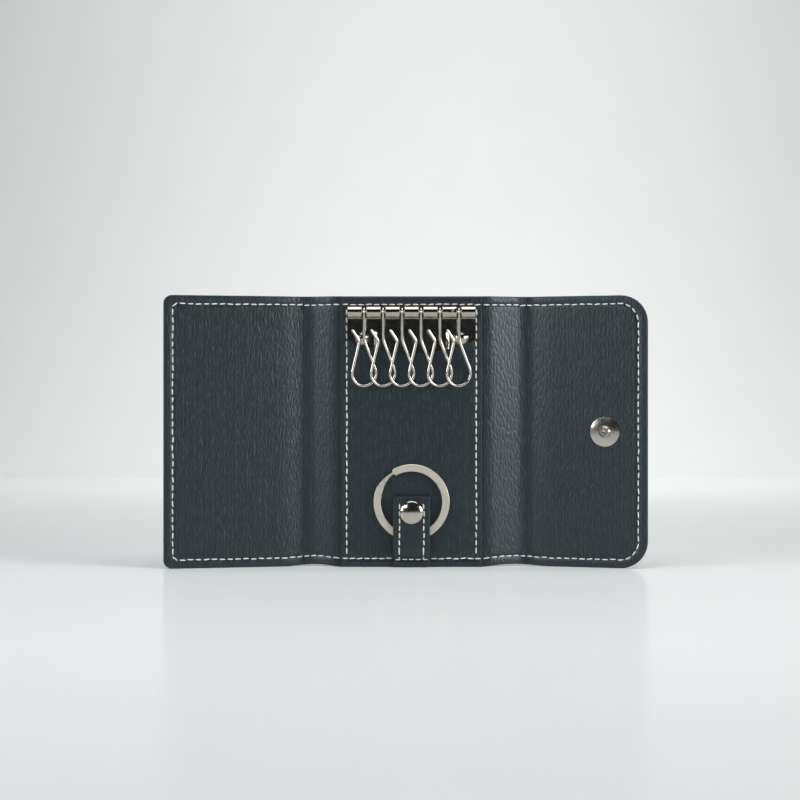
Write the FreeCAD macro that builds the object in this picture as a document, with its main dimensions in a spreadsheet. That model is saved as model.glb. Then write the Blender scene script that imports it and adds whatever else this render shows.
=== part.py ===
import FreeCAD, Part
import math
import operator
import os

import Sketcher
from FreeCAD import Placement, Rotation, Vector

# A tri-fold leather key case, standing open on its lower edge with its inner side towards -Y.
# Millimetres and degrees. +X is right, +Y is away from the viewer, +Z is up. The origin is on the
# ground under the middle of the centre cover, half way through the cover's leather.
# "Depth" is the distance from the middle of the cover's leather towards the viewer, that is along -Y.

DRIVING = {
    # Leather and boards
    "case_height": 108.4,
    "cover_thickness": 1.2,
    "lining_thickness": 0.8,
    "flap_board_thickness": 0.6,
    "panel_thickness": 1.2,
    "panel_board_thickness": 1.0,
    "panel_side_margin": 2.8,
    "panel_top_drop": 0.5,
    "flap_board_margin": 5.0,
    "panel_board_margin": 3.6,
    "board_clearance": 0.2,
    # Spines and flaps
    "fold_reach": 2.4,
    "spine_lift": 0.6,
    "spine_angle": 20.0,
    "left_spine_width": 11.6,
    "left_flap_angle": 14.0,
    "left_flap_end_gap": 2.6,
    "left_corner_radius": 3.2,
    "right_flap_angle": 19.0,
    "right_flap_length": 50.2,
    "right_corner_radius": 10.8,
    # Key plate with its rolled knuckles and rod
    "plate_thickness": 0.9,
    "plate_end_drop": 11.0,
    "plate_middle_drop": 16.4,
    "plate_corner_radius": 1.2,
    "knuckle_width": 5.5,
    "knuckle_gap": 2.05,
    "knuckle_wall": 1.7,
    "knuckle_sink": 0.3,
    "rod_radius": 0.7,
    "rod_top_drop": 6.6,
    "rod_overhang": 0.3,
    "rod_edge_radius": 0.25,
    "rod_clearance": 0.1,
    "notch_clearance": 0.4,
    "emboss_rivet_gap": 1.95,
    "emboss_top_drop": 6.4,
    "emboss_height": 0.6,
    "emboss_corner_radius": 2.4,
    "emboss_bevel_depth": 0.45,
    "emboss_bevel_width": 1.15,
    # Plate rivets and their washers
    "rivet_inset": 5.6,
    "rivet_edge_rise": 2.88,
    "rivet_head_radius": 2.85,
    "rivet_head_height": 1.5,
    "rivet_shank_radius": 1.2,
    "rivet_clearance": 0.1,
    "washer_radius": 2.6,
    "washer_thickness": 0.5,
    # Wire key hooks
    "wire_radius": 0.6,
    "hook_panel_gap": 0.3,
    "hook_twist": 16.0,
    "eye_wrap": 290.0,
    "stem_length": 11.0,
    "stem_bend_radius": 10.0,
    "loop_drop": 24.4,
    "loop_radius": 4.95,
    "kink_offset": 1.9,
    "kink_drop": 11.4,
    "kink_bend_radius": 1.9,
    "tip_reach": 2.8,
    "tip_rise": 4.2,
    # Split ring
    "ring_radius": 15.15,
    "ring_band": 2.9,
    "ring_rest": 4.45,
    "ring_panel_gap": 0.3,
    "coil_thickness": 0.95,
    "coil_slit": 0.1,
    "coil_chamfer": 0.2,
    "split_angle": 122.0,
    "split_taper": 43.0,
    "split_neck": 0.3,
    "split_hidden": 22.0,
    "coil_end_radius": 0.8,
    # Ring strap
    "strap_width": 14.6,
    "strap_layer": 0.9,
    "strap_tab": 6.4,
    "strap_corner_radius": 0.9,
    "strap_ring_gap": 0.2,
    "strap_bend_height": 6.4,
    "foot_seam_height": 4.2,
    "foot_bottom": 0.3,
    # Snap of the ring strap
    "snap_below_ring": 4.0,
    "strap_cap_radius": 4.75,
    "strap_cap_dome": 1.9,
    "strap_cap_rim": 0.7,
    "strap_cap_edge": 0.95,
    "strap_socket_radius": 4.4,
    "strap_flange_radius": 4.0,
    "strap_flange": 0.5,
    "strap_nub_radius": 1.8,
    "strap_nub_height": 1.2,
    # Snap that holds the right flap over the left one
    "flap_stud_inset": 16.9,
    "flap_flange_radius": 5.95,
    "flap_flange": 0.6,
    "flap_nub_radius": 2.05,
    "flap_nub_height": 1.2,
    "flap_socket_radius": 5.9,
    "flap_socket_rise": 1.6,
    "flap_cap_radius": 6.3,
    "flap_cap_dome": 1.7,
    "flap_cap_rim": 0.5,
    "flap_cap_edge": 0.6,
    # What both snaps share
    "snap_play": 0.1,
    "snap_edge": 0.25,
    "flange_dome": 0.35,
    "nub_neck": 0.3,
    "nub_dimple_radius": 0.8,
    "nub_dimple_depth": 0.4,
    "nub_moat": 0.5,
    "nub_moat_depth": 0.15,
    "socket_floor": 0.35,
    "socket_side_gap": 0.2,
    "spring_radius": 0.25,
    "spring_side_gap": 0.06,
    "spring_sweep": 320.0,
    "post_radius": 1.1,
    "post_clearance": 0.1,
    "post_flange_radius": 3.2,
    "post_flange": 0.5,
    # How far cutting tools run past what they cut
    "overrun": 2.0,
}

HOOKS = 6
LINE_POINTS = 24
LEFT = -1
RIGHT = 1
FULL_TURN = 360
NEAR = 1e-6

OPERATIONS = {"+": operator.add, "-": operator.sub, "*": operator.mul, "/": operator.truediv}

doc = FreeCAD.newDocument("KeyCase")
sheet = doc.addObject("Spreadsheet::Sheet", "Sizes")
for row, (alias, number) in enumerate(DRIVING.items(), start=1):
    sheet.set(f"A{row}", alias)
    sheet.set(f"B{row}", str(number))
    sheet.setAlias(f"B{row}", alias)
doc.recompute()


class Size:
    """A length or an angle: its value now, and the expression that gives it in the document."""

    def __init__(self, value, text):
        self.value = value
        self.text = text

    def __add__(self, other):
        return joined(self, "+", other)

    def __radd__(self, other):
        return joined(other, "+", self)

    def __sub__(self, other):
        return joined(self, "-", other)

    def __rsub__(self, other):
        return joined(other, "-", self)

    def __mul__(self, other):
        return joined(self, "*", other)

    def __rmul__(self, other):
        return joined(other, "*", self)

    def __truediv__(self, other):
        return joined(self, "/", other)

    def __neg__(self):
        return joined(0, "-", self)


def as_size(item):
    """A plain number as a Size, and a Size as it is."""
    return item if isinstance(item, Size) else Size(item, str(item))


def joined(left, sign, right):
    """The sum, difference, product or quotient of two sizes."""
    left, right = as_size(left), as_size(right)
    return Size(OPERATIONS[sign](left.value, right.value), f"({left.text} {sign} {right.text})")


def sin(angle):
    return Size(math.sin(math.radians(angle.value)), f"sin({angle.text})")


def cos(angle):
    return Size(math.cos(math.radians(angle.value)), f"cos({angle.text})")


def tan(angle):
    return Size(math.tan(math.radians(angle.value)), f"tan({angle.text})")


def root(size):
    return Size(math.sqrt(size.value), f"sqrt({size.text})")


class Book:
    """Reads driving dimensions from the sheet by name."""

    def __getattr__(self, name):
        return Size(float(sheet.get(name)), f"Sizes.{name}")


book = Book()


# Depths and lengths that several pieces share
cover_half = book.cover_thickness / 2
hook_pitch = book.knuckle_width + book.knuckle_gap
plate_width = book.knuckle_width * (HOOKS + 1) + book.knuckle_gap * HOOKS
plate_half = plate_width / 2
panel_half = plate_half + book.panel_side_margin
panel_back = cover_half + book.panel_board_thickness
panel_front = panel_back + book.panel_thickness
spine_front = cover_half + book.lining_thickness
flap_front = cover_half + book.flap_board_thickness + book.lining_thickness
fold_line = panel_half + book.fold_reach
left_flap_length = fold_line * 2 - book.left_flap_end_gap
right_spine_width = (book.left_spine_width + flap_front + cover_half + book.flap_flange + book.snap_play
                     + book.flap_socket_rise)
plate_front = panel_front + book.plate_thickness
rod_height = book.case_height - book.rod_top_drop
bow = book.plate_middle_drop - book.plate_end_drop
bow_radius = (plate_half * plate_half + bow * bow) / (bow * 2)
rivet_across = plate_half - book.rivet_inset
bow_rise = bow_radius - root(bow_radius * bow_radius - rivet_across * rivet_across)
rivet_drop = book.plate_middle_drop - bow_rise - book.rivet_edge_rise
eye_radius = book.rod_radius + book.rod_clearance + book.wire_radius
knuckle_bore = book.rod_radius + book.rod_clearance
knuckle_radius = knuckle_bore + book.knuckle_wall
rod_depth = plate_front - book.knuckle_sink + knuckle_radius
ring_back = panel_front + book.ring_panel_gap
ring_front = ring_back + book.coil_thickness * 2 + book.coil_slit
strap_back = ring_front + book.strap_ring_gap
strap_front = strap_back + book.strap_layer * 2
ring_height = book.strap_bend_height + book.ring_rest + book.ring_radius
strap_snap_height = ring_height - book.snap_below_ring
strap_top = strap_snap_height + book.strap_tab
# When both flaps are closed the stud meets the socket, so their distances add up to the case's width.
snap_height = book.case_height / 2
flap_stud_along = book.right_flap_length - book.flap_stud_inset
flap_socket_along = fold_line * 2 - flap_stud_along
post_hole = book.post_radius + book.post_clearance

nodes = []


# Document helpers


def bind(item, name, size):
    """Ties one property of a document object to the sheet."""
    item.setExpression(name, as_size(size).text)


def new_body(label):
    """A named PartDesign body that will be written as a node."""
    body = doc.addObject("PartDesign::Body", label)
    body.Label = label
    nodes.append(body)
    return body


def sketch_on(body, role, offset=0):
    """A sketch on one of the body's own planes, moved along the plane's normal."""
    plane = next(item for item in body.Origin.OriginFeatures if item.Role == role)
    sketch = body.newObject("Sketcher::SketchObject", f"{body.Name}_sketch")
    sketch.AttachmentSupport = (plane, [""])
    sketch.MapMode = "FlatFace"
    bind(sketch, "AttachmentOffset.Base.z", offset)
    return sketch


def fix_size(sketch, kind, places, size):
    """Adds a dimension to a sketch and ties it to the sheet."""
    number = sketch.addConstraint(Sketcher.Constraint(kind, *places, size.value))
    bind(sketch, f"Constraints[{number}]", size)


def fix_point(sketch, curve, end, point):
    """Holds one point of a curve at a place measured from the sketch's origin."""
    for kind, axis, size in (("DistanceX", -2, point[0]), ("DistanceY", -1, point[1])):
        if isinstance(size, Size):
            fix_size(sketch, kind, (-1, 1, curve, end), size)
        else:
            sketch.addConstraint(Sketcher.Constraint("PointOnObject", curve, end, axis))


def flat(point):
    """A sketch point as a vector."""
    return Vector(as_size(point[0]).value, as_size(point[1]).value, 0)


def draw_outline(sketch, points, arcs=None):
    """Draws a closed outline, counterclockwise.

    arcs gives the radius of each stretch that is an outward arc, by the number of its first point.
    """
    arcs = arcs or {}
    ends = points[1:] + points[:1]
    curves = []
    for index, (start, end) in enumerate(zip(points, ends)):
        if index in arcs:
            chord = flat(end) - flat(start)
            radius = arcs[index].value
            rise = radius - math.sqrt(radius ** 2 - (chord.Length / 2) ** 2)
            outward = Vector(chord.y, -chord.x, 0).normalize()
            middle = (flat(start) + flat(end)) / 2 + outward * rise
            shape = Part.Arc(flat(start), middle, flat(end))
        else:
            shape = Part.LineSegment(flat(start), flat(end))
        curves.append(sketch.addGeometry(shape))
    for index, curve in enumerate(curves):
        after = curves[(index + 1) % len(curves)]
        sketch.addConstraint(Sketcher.Constraint("Coincident", curve, 2, after, 1))
        fix_point(sketch, curve, 1, points[index])
        if index in arcs:
            fix_size(sketch, "Radius", (curve,), arcs[index])


def draw_circle(sketch, center, radius):
    """Draws a circle held by its centre and radius."""
    curve = sketch.addGeometry(Part.Circle(flat(center), Vector(0, 0, 1), radius.value))
    fix_point(sketch, curve, 3, center)
    fix_size(sketch, "Radius", (curve,), radius)


def rectangle(low_x, high_x, low_y, high_y):
    """The corners of a rectangle, counterclockwise."""
    return [(low_x, low_y), (high_x, low_y), (high_x, high_y), (low_x, high_y)]


def pad(body, sketch, length):
    """Raises a sketch along its normal."""
    feature = body.newObject("PartDesign::Pad", f"{body.Name}_pad")
    feature.Profile = sketch
    bind(feature, "Length", length)
    return feature


def pocket(body, sketch, depth=None, forward=False):
    """Cuts a sketch into the body against its normal, or along it; right through without a depth."""
    feature = body.newObject("PartDesign::Pocket", f"{body.Name}_pocket")
    feature.Profile = sketch
    feature.Reversed = forward
    if depth is None:
        feature.Type = "ThroughAll"
    else:
        bind(feature, "Length", depth)
    return feature


def dress_edges(body, feature, kind, chosen):
    """Starts a fillet or chamfer on the edges of a feature that the test picks."""
    doc.recompute()
    edges = [f"Edge{number}" for number, edge in enumerate(feature.Shape.Edges, start=1) if chosen(edge)]
    dressing = body.newObject(f"PartDesign::{kind}", f"{body.Name}_{kind.lower()}")
    dressing.Base = (feature, edges)
    return dressing


def round_edges(body, feature, radius, chosen):
    """Rounds the edges of a feature that the test picks."""
    rounding = dress_edges(body, feature, "Fillet", chosen)
    bind(rounding, "Radius", radius)
    return rounding


def bevel_edges(body, feature, first, second, chosen):
    """Bevels the edges of a feature that the test picks, by one size on each of the two faces."""
    bevel = dress_edges(body, feature, "Chamfer", chosen)
    bevel.ChamferType = "Two distances"
    bind(bevel, "Size", first)
    bind(bevel, "Size2", second)
    return bevel


def drill(body, offset, holes):
    """Cuts round holes right through, away from the viewer, from a plane at the given depth."""
    sketch = sketch_on(body, "XZ_Plane", offset)
    for center, radius in holes:
        draw_circle(sketch, center, radius)
    return pocket(body, sketch)


def along_depth(edge):
    """True for a straight edge that runs through the leather's thickness."""
    return abs(edge.tangentAt(edge.FirstParameter).y) > 1 - NEAR


def turned(label, profile, arcs=None):
    """A body turned about the line of depth from (radius, depth) points, counterclockwise."""
    body = new_body(label)
    sketch = sketch_on(body, "XY_Plane")
    draw_outline(sketch, [(radius, -as_size(depth)) for radius, depth in profile], arcs)
    turning = body.newObject("PartDesign::Revolution", f"{body.Name}_turn")
    turning.Profile = sketch
    turning.ReferenceAxis = (sketch, ["V_Axis"])
    turning.Angle = FULL_TURN
    return body


# Frames of the parts of the case


class Frame:
    """Where a part of the case stands: the foot of its fold line and its turn about the upright."""

    def __init__(self, x, y, angle):
        self.x = x
        self.y = y
        self.angle = angle

    def point(self, across, back):
        """The place in the whole of a point given in this frame."""
        turn_cos, turn_sin = cos(self.angle), sin(self.angle)
        return self.x + across * turn_cos - back * turn_sin, self.y + across * turn_sin + back * turn_cos


def place(item, frame, across=0, up=0, turn=0):
    """Stands an object in a frame, moved across and up, and turned further about the upright."""
    item.Placement = Placement(Vector(0, 0, 0), Rotation(Vector(0, 0, 1), 1))
    x, y = frame.point(across, 0)
    bind(item, "Placement.Base.x", x)
    bind(item, "Placement.Base.y", y)
    bind(item, "Placement.Base.z", up)
    bind(item, "Placement.Rotation.Angle", frame.angle + turn)


def spine_frame(side):
    return Frame(fold_line * side, as_size(0), book.spine_angle * side)


def flap_frame(side, spine_width, flap_angle):
    x, y = spine_frame(side).point(spine_width * side, 0)
    return Frame(x, y, flap_angle * -side)


center_frame = Frame(as_size(0), as_size(0), as_size(0))
left_spine = spine_frame(LEFT)
right_spine = spine_frame(RIGHT)
left_flap = flap_frame(LEFT, book.left_spine_width, book.left_flap_angle)
right_flap = flap_frame(RIGHT, right_spine_width, book.right_flap_angle)


# Leather covers, linings and boards


def plate_between(label, near, far, bottom, top, back, thickness):
    """A flat upright plate between two places across, with its back at a given depth."""
    body = new_body(label)
    low, high = (near, far) if as_size(near).value < as_size(far).value else (far, near)
    sketch = sketch_on(body, "XZ_Plane", back)
    draw_outline(sketch, rectangle(low, high, bottom, top))
    return body, pad(body, sketch, thickness)


def round_free_corners(body, feature, free_edge, radius):
    """Rounds the two corners of a flap that stand at its free edge."""
    return round_edges(
        body, feature, radius,
        lambda edge: along_depth(edge) and abs(edge.Vertexes[0].X - free_edge.value) < NEAR)


def board_recess(body, back, depth, outline):
    """Cuts the room for a board into the back of a lining."""
    sketch = sketch_on(body, "XZ_Plane", back)
    draw_outline(sketch, outline)
    pocket(body, sketch, depth, forward=True)


def make_flap(name, side, frame, length, corner, cover_holes, board_holes, lining_holes):
    """A flap: outer cover, stiffening board and the lining that closes over the board."""
    root_edge = book.fold_reach * side
    free_edge = length * side
    cover, plate = plate_between(f"cover_{name}", root_edge, free_edge, 0, book.case_height,
                                 -cover_half, book.cover_thickness)
    round_free_corners(cover, plate, free_edge, corner)
    lining, plate = plate_between(f"{name}_lining", root_edge, free_edge, 0, book.case_height,
                                  cover_half, book.flap_board_thickness + book.lining_thickness)
    round_free_corners(lining, plate, free_edge, corner)
    margin = book.flap_board_margin
    recess = [root_edge + margin * side, free_edge - margin * side]
    recess.sort(key=lambda size: size.value)
    low, high = margin, book.case_height - margin
    board_recess(lining, cover_half, book.flap_board_thickness, rectangle(*recess, low, high))
    gap = book.board_clearance
    board, plate = plate_between(f"{name}_board", recess[0] + gap, recess[1] - gap, low + gap, high - gap,
                                 cover_half, book.flap_board_thickness)
    for body, front, holes in ((cover, cover_half, cover_holes),
                               (board, cover_half + book.flap_board_thickness, board_holes),
                               (lining, flap_front, lining_holes)):
        if holes:
            drill(body, front, holes)
        place(body, frame)


def make_spine(name, side, frame, width):
    """A spine's flat middle: outer cover and lining, a little short at the ground."""
    near, far = book.fold_reach * side, (width - book.fold_reach) * side
    for label, back, thickness in ((f"cover_{name}_spine", -cover_half, book.cover_thickness),
                                   (f"lining_{name}_spine", cover_half, book.lining_thickness)):
        body, plate = plate_between(label, near, far, book.spine_lift, book.case_height, back, thickness)
        place(body, frame)


def bent_layer(label, frame, across, back, inner, outer, start, sweep):
    """One layer of leather bent round a fold: a sector of a tube about a point in a frame."""
    x, y = frame.point(across, back)
    center = Frame(x, y, frame.angle)
    solids = []
    for suffix, radius in (("outside", outer), ("inside", inner)):
        sector = doc.addObject("Part::Cylinder", f"{label}_{suffix}")
        bind(sector, "Radius", radius)
        bind(sector, "Height", book.case_height - book.spine_lift)
        bind(sector, "Angle", sweep)
        place(sector, center, up=book.spine_lift, turn=start)
        solids.append(sector)
    layer = doc.addObject("Part::Cut", label)
    layer.Base, layer.Tool = solids
    return layer


def make_fold(name, layers):
    """The bent cover and lining at one fold line, as one node of two solids."""
    fold = doc.addObject("Part::Compound", name)
    fold.Label = name
    fold.Links = layers
    nodes.append(fold)


def make_folds(name, side, spine, spine_width, flap_angle):
    """The two soft folds of a spine: backward at the centre panel, forward at the flap."""
    right_angle = 90
    leathers = (("cover", -cover_half, cover_half), ("lining", cover_half, spine_front))
    bend = book.spine_angle
    radius = book.fold_reach / tan(bend / 2)
    start = -right_angle if side == RIGHT else -(bend + right_angle)
    layers = [bent_layer(f"{name}_inner_fold_{part}", center_frame, panel_half * side, radius,
                         radius + low, radius + high, start, bend)
              for part, low, high in leathers]
    make_fold(f"{name}_inner_fold", layers)
    bend = book.spine_angle + flap_angle
    radius = book.fold_reach / tan(bend / 2)
    start = right_angle - bend if side == RIGHT else as_size(right_angle)
    layers = [bent_layer(f"{name}_outer_fold_{part}", spine, (spine_width - book.fold_reach) * side, -radius,
                         radius - high, radius - low, start, bend)
              for part, low, high in leathers]
    make_fold(f"{name}_outer_fold", layers)


rivet_places = [(rivet_across * side, rod_height - rivet_drop) for side in (LEFT, RIGHT)]
strap_snap_place = (0, strap_snap_height)


def make_center():
    """The centre of the case: outer cover, board and the raised panel that carries the metalwork."""
    plate_between("cover_center", -panel_half, panel_half, 0, book.case_height,
                  -cover_half, book.cover_thickness)
    panel_top = book.case_height - book.panel_top_drop
    panel, plate = plate_between("center_panel", -panel_half, panel_half, 0, panel_top,
                                 cover_half, book.panel_board_thickness + book.panel_thickness)
    margin, gap = book.panel_board_margin, book.board_clearance
    edge, low, high = panel_half - margin, margin, panel_top - margin
    board_recess(panel, cover_half, book.panel_board_thickness, rectangle(-edge, edge, low, high))
    drill(panel, panel_front, [(where, book.rivet_shank_radius + book.rivet_clearance)
                               for where in rivet_places] + [(strap_snap_place, post_hole)])
    board, plate = plate_between("center_board", -(edge - gap), edge - gap, low + gap, high - gap,
                                 cover_half, book.panel_board_thickness)
    drill(board, panel_back, [(where, book.washer_radius + gap) for where in rivet_places]
          + [(strap_snap_place, book.post_flange_radius + gap)])


# Key plate, rod and rivets


def make_key_plate():
    """The stamped plate: bowed lower edge, raised middle and a row of rolled knuckles."""
    body = new_body("key_plate")
    half = plate_half
    end = rod_height - book.plate_end_drop
    sketch = sketch_on(body, "XZ_Plane", panel_front)
    draw_outline(sketch, rectangle(-half, half, end, rod_height), {0: bow_radius})
    blank = pad(body, sketch, book.plate_thickness)
    round_edges(body, blank, book.plate_corner_radius,
                lambda edge: along_depth(edge) and edge.Vertexes[0].Z < rod_height.value - NEAR)
    bow_center = rod_height - book.plate_middle_drop + bow_radius
    wide = rivet_across - book.rivet_head_radius - book.emboss_rivet_gap
    foot = bow_center - root(bow_radius * bow_radius - wide * wide)
    sketch = sketch_on(body, "XZ_Plane", panel_front)
    top = rod_height - book.emboss_top_drop
    draw_outline(sketch, rectangle(-wide, wide, foot, top), {0: bow_radius})
    raised = pad(body, sketch, book.plate_thickness + book.emboss_height)
    front = plate_front.value + book.emboss_height.value
    corners = round_edges(body, raised, book.emboss_corner_radius,
                          lambda edge: along_depth(edge) and abs(edge.Vertexes[0].Z - top.value) < NEAR
                          and abs(edge.BoundBox.YMin + front) < NEAR)
    bevel_edges(body, corners, book.emboss_bevel_depth, book.emboss_bevel_width,
                lambda edge: abs(edge.BoundBox.YMin + front) < NEAR
                and abs(edge.BoundBox.YMax + front) < NEAR
                and edge.BoundBox.ZMax > foot.value + NEAR)
    sketch = sketch_on(body, "YZ_Plane", -half)
    axis = (-rod_depth, rod_height)
    draw_circle(sketch, axis, knuckle_radius)
    draw_circle(sketch, axis, knuckle_bore)
    pad(body, sketch, plate_width)
    notch_foot = rod_height - eye_radius - book.wire_radius - book.notch_clearance
    knuckle_top = rod_height + knuckle_radius
    sketch = sketch_on(body, "XZ_Plane", rod_depth + knuckle_radius + book.overrun)
    first_gap = book.knuckle_width - half
    draw_outline(sketch, rectangle(first_gap, first_gap + book.knuckle_gap, notch_foot,
                                   knuckle_top + book.overrun))
    notch = pocket(body, sketch)
    doc.recompute()
    row = body.newObject("PartDesign::LinearPattern", "key_plate_notches")
    row.Originals = [notch]
    row.Direction = (sketch, ["H_Axis"])
    row.Occurrences = HOOKS
    bind(row, "Length", hook_pitch * (HOOKS - 1))
    body.Tip = row
    drill(body, plate_front + book.overrun,
          [(where, book.rivet_shank_radius + book.rivet_clearance) for where in rivet_places])


def make_rod():
    """The rod through the knuckles that carries the hooks, with slightly eased ends."""
    body = new_body("hook_rod")
    length = plate_width + book.rod_overhang * 2
    sketch = sketch_on(body, "YZ_Plane", -(length / 2))
    draw_circle(sketch, (-rod_depth, rod_height), book.rod_radius)
    rod = pad(body, sketch, length)
    round_edges(body, rod, book.rod_edge_radius, lambda edge: edge.BoundBox.XLength < NEAR)


def make_rivets():
    """Two domed rivets that hold the plate, and the washers that they are set over."""
    head, rise = book.rivet_head_radius, book.rivet_head_height
    dome = (head * head + rise * rise) / (rise * 2)
    shank_end = panel_back - book.washer_thickness
    hole = book.rivet_shank_radius + book.rivet_clearance
    for name, (across, up) in zip(("left", "right"), rivet_places):
        rivet = turned(f"{name}_plate_rivet",
                       [(0, plate_front + rise), (head, plate_front), (book.rivet_shank_radius, plate_front),
                        (book.rivet_shank_radius, shank_end), (0, shank_end)], {0: dome})
        washer = turned(f"{name}_rivet_washer",
                        [(hole, panel_back), (book.washer_radius, panel_back),
                         (book.washer_radius, shank_end), (hole, shank_end)])
        for body in (rivet, washer):
            place(body, center_frame, across, up)


# Wire key hooks


def corner_arc(before, corner, after, radius):
    """The arc that rounds a bend of a wire's line, with the points where it starts and ends."""
    arrive = (corner - before).normalize()
    leave = (after - corner).normalize()
    turn = arrive.getAngle(leave)
    reach = radius * math.tan(turn / 2)
    start, end = corner - arrive * reach, corner + leave * reach
    inward = (leave - arrive).normalize()
    middle = corner + inward * (radius / math.cos(turn / 2) - radius)
    return start, end, Part.Arc(start, middle, end).toShape()


def hook_line():
    """The middle line of a hook's wire about its rod: eye, stem, teardrop loop, kink and tip."""
    twist = math.radians(book.hook_twist.value)
    right = Vector(math.cos(twist), math.sin(twist), 0)
    eye = eye_radius.value
    stem_top = Vector(0, -eye, 0)

    def in_loop(across, up):
        return stem_top + right * across + Vector(0, 0, up)

    def on_eye(angle):
        return Vector(0, math.cos(math.radians(angle)) * eye, math.sin(math.radians(angle)) * eye)

    front = 180
    start = front - book.eye_wrap.value
    curves = [Part.Arc(on_eye(start), on_eye((start + front) / 2), stem_top).toShape()]
    drop, radius = book.loop_drop.value, book.loop_radius.value
    stem_end, kink = book.stem_length.value, book.kink_drop.value
    offset = book.kink_offset.value
    right_lean = math.asin(radius / (drop - stem_end))
    left_lean = math.asin(radius / math.hypot(drop - kink, offset)) - math.atan2(offset, drop - kink)
    right_touch = in_loop(radius * math.cos(right_lean), -drop + radius * math.sin(right_lean))
    left_touch = in_loop(-radius * math.cos(left_lean), -drop + radius * math.sin(left_lean))
    stem_corner, kink_corner = in_loop(0, -stem_end), in_loop(-offset, -kink)
    tip = in_loop(-offset - book.tip_reach.value, -kink + book.tip_rise.value)
    first, second, bend = corner_arc(stem_top, stem_corner, right_touch, book.stem_bend_radius.value)
    third, fourth, bent_tip = corner_arc(left_touch, kink_corner, tip, book.kink_bend_radius.value)
    curves.append(Part.LineSegment(stem_top, first).toShape())
    curves.append(bend)
    curves.append(Part.LineSegment(second, right_touch).toShape())
    curves.append(Part.Arc(right_touch, in_loop(0, -drop - radius), left_touch).toShape())
    curves.append(Part.LineSegment(left_touch, third).toShape())
    curves.append(bent_tip)
    curves.append(Part.LineSegment(fourth, tip).toShape())
    return Part.Wire(curves)


def hanging_lean(line, weight_center):
    """How far a hook swings back: until its weight is under the rod, or it is about to touch the panel."""
    room = rod_depth.value - panel_front.value - book.hook_panel_gap.value - book.wire_radius.value
    lean = -math.atan2(weight_center.y, -weight_center.z)
    for edge in line.Edges[1:]:
        for point in edge.discretize(LINE_POINTS):
            reach = math.hypot(point.y, point.z)
            if reach > room:
                lean = min(lean, math.asin(room / reach) - math.atan2(point.y, -point.z))
    return math.degrees(lean)


def make_hooks():
    """Six like hooks, each looped round the rod and shingled in front of the one on its left."""
    line = hook_line()
    wire = book.wire_radius.value
    start, end = line.Edges[0], line.Edges[-1]
    section = Part.Wire(Part.Circle(start.valueAt(start.FirstParameter),
                                    start.tangentAt(start.FirstParameter), wire).toShape())
    rod = line.makePipeShell([section], True, False)
    swept = math.pi * wire ** 2 * line.Length
    print(f"hook wire: {line.Length:.2f} mm long, volume over section times length "
          f"{rod.Volume / swept:.4f}")
    shape = rod.fuse(Part.makeSphere(wire, end.valueAt(end.LastParameter)))
    lean = hanging_lean(line, shape.Solids[0].CenterOfMass)
    for index in range(HOOKS):
        hook = doc.addObject("Part::Feature", f"key_hook_{index + 1}")
        hook.Label = hook.Name
        hook.Shape = shape
        across = hook_pitch.value * (index - (HOOKS - 1) / 2)
        hook.Placement = Placement(Vector(across, -rod_depth.value, rod_height.value),
                                   Rotation(Vector(1, 0, 0), lean))
        nodes.append(hook)


# Split ring and its strap


def coil_section(angle, low, trim_in=0.0, trim_out=0.0):
    """The flat band of the split ring where it crosses one half plane, with eased corners.

    trim_in and trim_out narrow it at its inner and outer edge.
    """
    outer = book.ring_radius.value - trim_out
    inner = book.ring_radius.value - book.ring_band.value + trim_in
    high = low + book.coil_thickness.value
    ease = book.coil_chamfer.value
    outline = [(inner + ease, low), (outer - ease, low), (outer, low + ease), (outer, high - ease),
               (outer - ease, high), (inner + ease, high), (inner, high - ease), (inner, low + ease)]
    turn = math.radians(angle)
    points = [Vector(radius * math.cos(turn), radius * math.sin(turn), level) for radius, level in outline]
    return Part.makePolygon(points + points[:1])


def eased(share):
    """A share from 0 to 1 that starts and ends gently."""
    return share * share * (3 - 2 * share)


def make_split_ring():
    """One flat wire wound twice: the front turn to its rounded end, the necked crossover and the back turn."""
    lift = book.coil_thickness.value + book.coil_slit.value
    split, taper, hidden = book.split_angle.value, book.split_taper.value, book.split_hidden.value
    narrow = book.ring_band.value * (1 - book.split_neck.value)
    corner = book.coil_end_radius.value
    corner_turn = math.degrees(corner / (book.ring_radius.value - book.ring_band.value / 2))
    center, axis, steps = Vector(0, 0, 0), Vector(0, 0, 1), 12

    def turn(begin, finish, low):
        """A full-width turn of the wire between two angles."""
        return Part.Face(coil_section(begin, low)).revolve(center, axis, finish - begin)

    front = turn(split + taper, split + FULL_TURN - corner_turn, lift)
    tip = [coil_section(split - corner_turn * (1 - share), lift, *[corner * (1 - math.sqrt(1 - share ** 2))] * 2)
           for share in (0, 0.3, 0.55, 0.75, 0.9, 0.98)]
    crossover = []
    for step in range(steps + 1):
        share = step / steps
        trim = narrow * eased(share) / 2
        crossover.append(coil_section(split + taper * (1 - share), lift * (1 - eased(min(share * 1.15, 1))),
                                      trim, trim))
    widening = [coil_section(split - hidden * share, 0, *[narrow * (1 - eased(share)) / 2] * 2)
                for share in (0, 0.25, 0.5, 0.75, 1)]
    back = turn(split + taper - FULL_TURN, split - hidden, 0)
    ring = doc.addObject("Part::Feature", "split_ring")
    ring.Label = ring.Name
    ring.Shape = front.fuse([Part.makeLoft(tip, True, True), Part.makeLoft(crossover, True, True),
                             Part.makeLoft(widening, True, True), back])
    quarter = 90
    ring.Placement = Placement(Vector(0, -ring_back.value, ring_height.value),
                               Rotation(Vector(1, 0, 0), quarter))
    nodes.append(ring)


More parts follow.
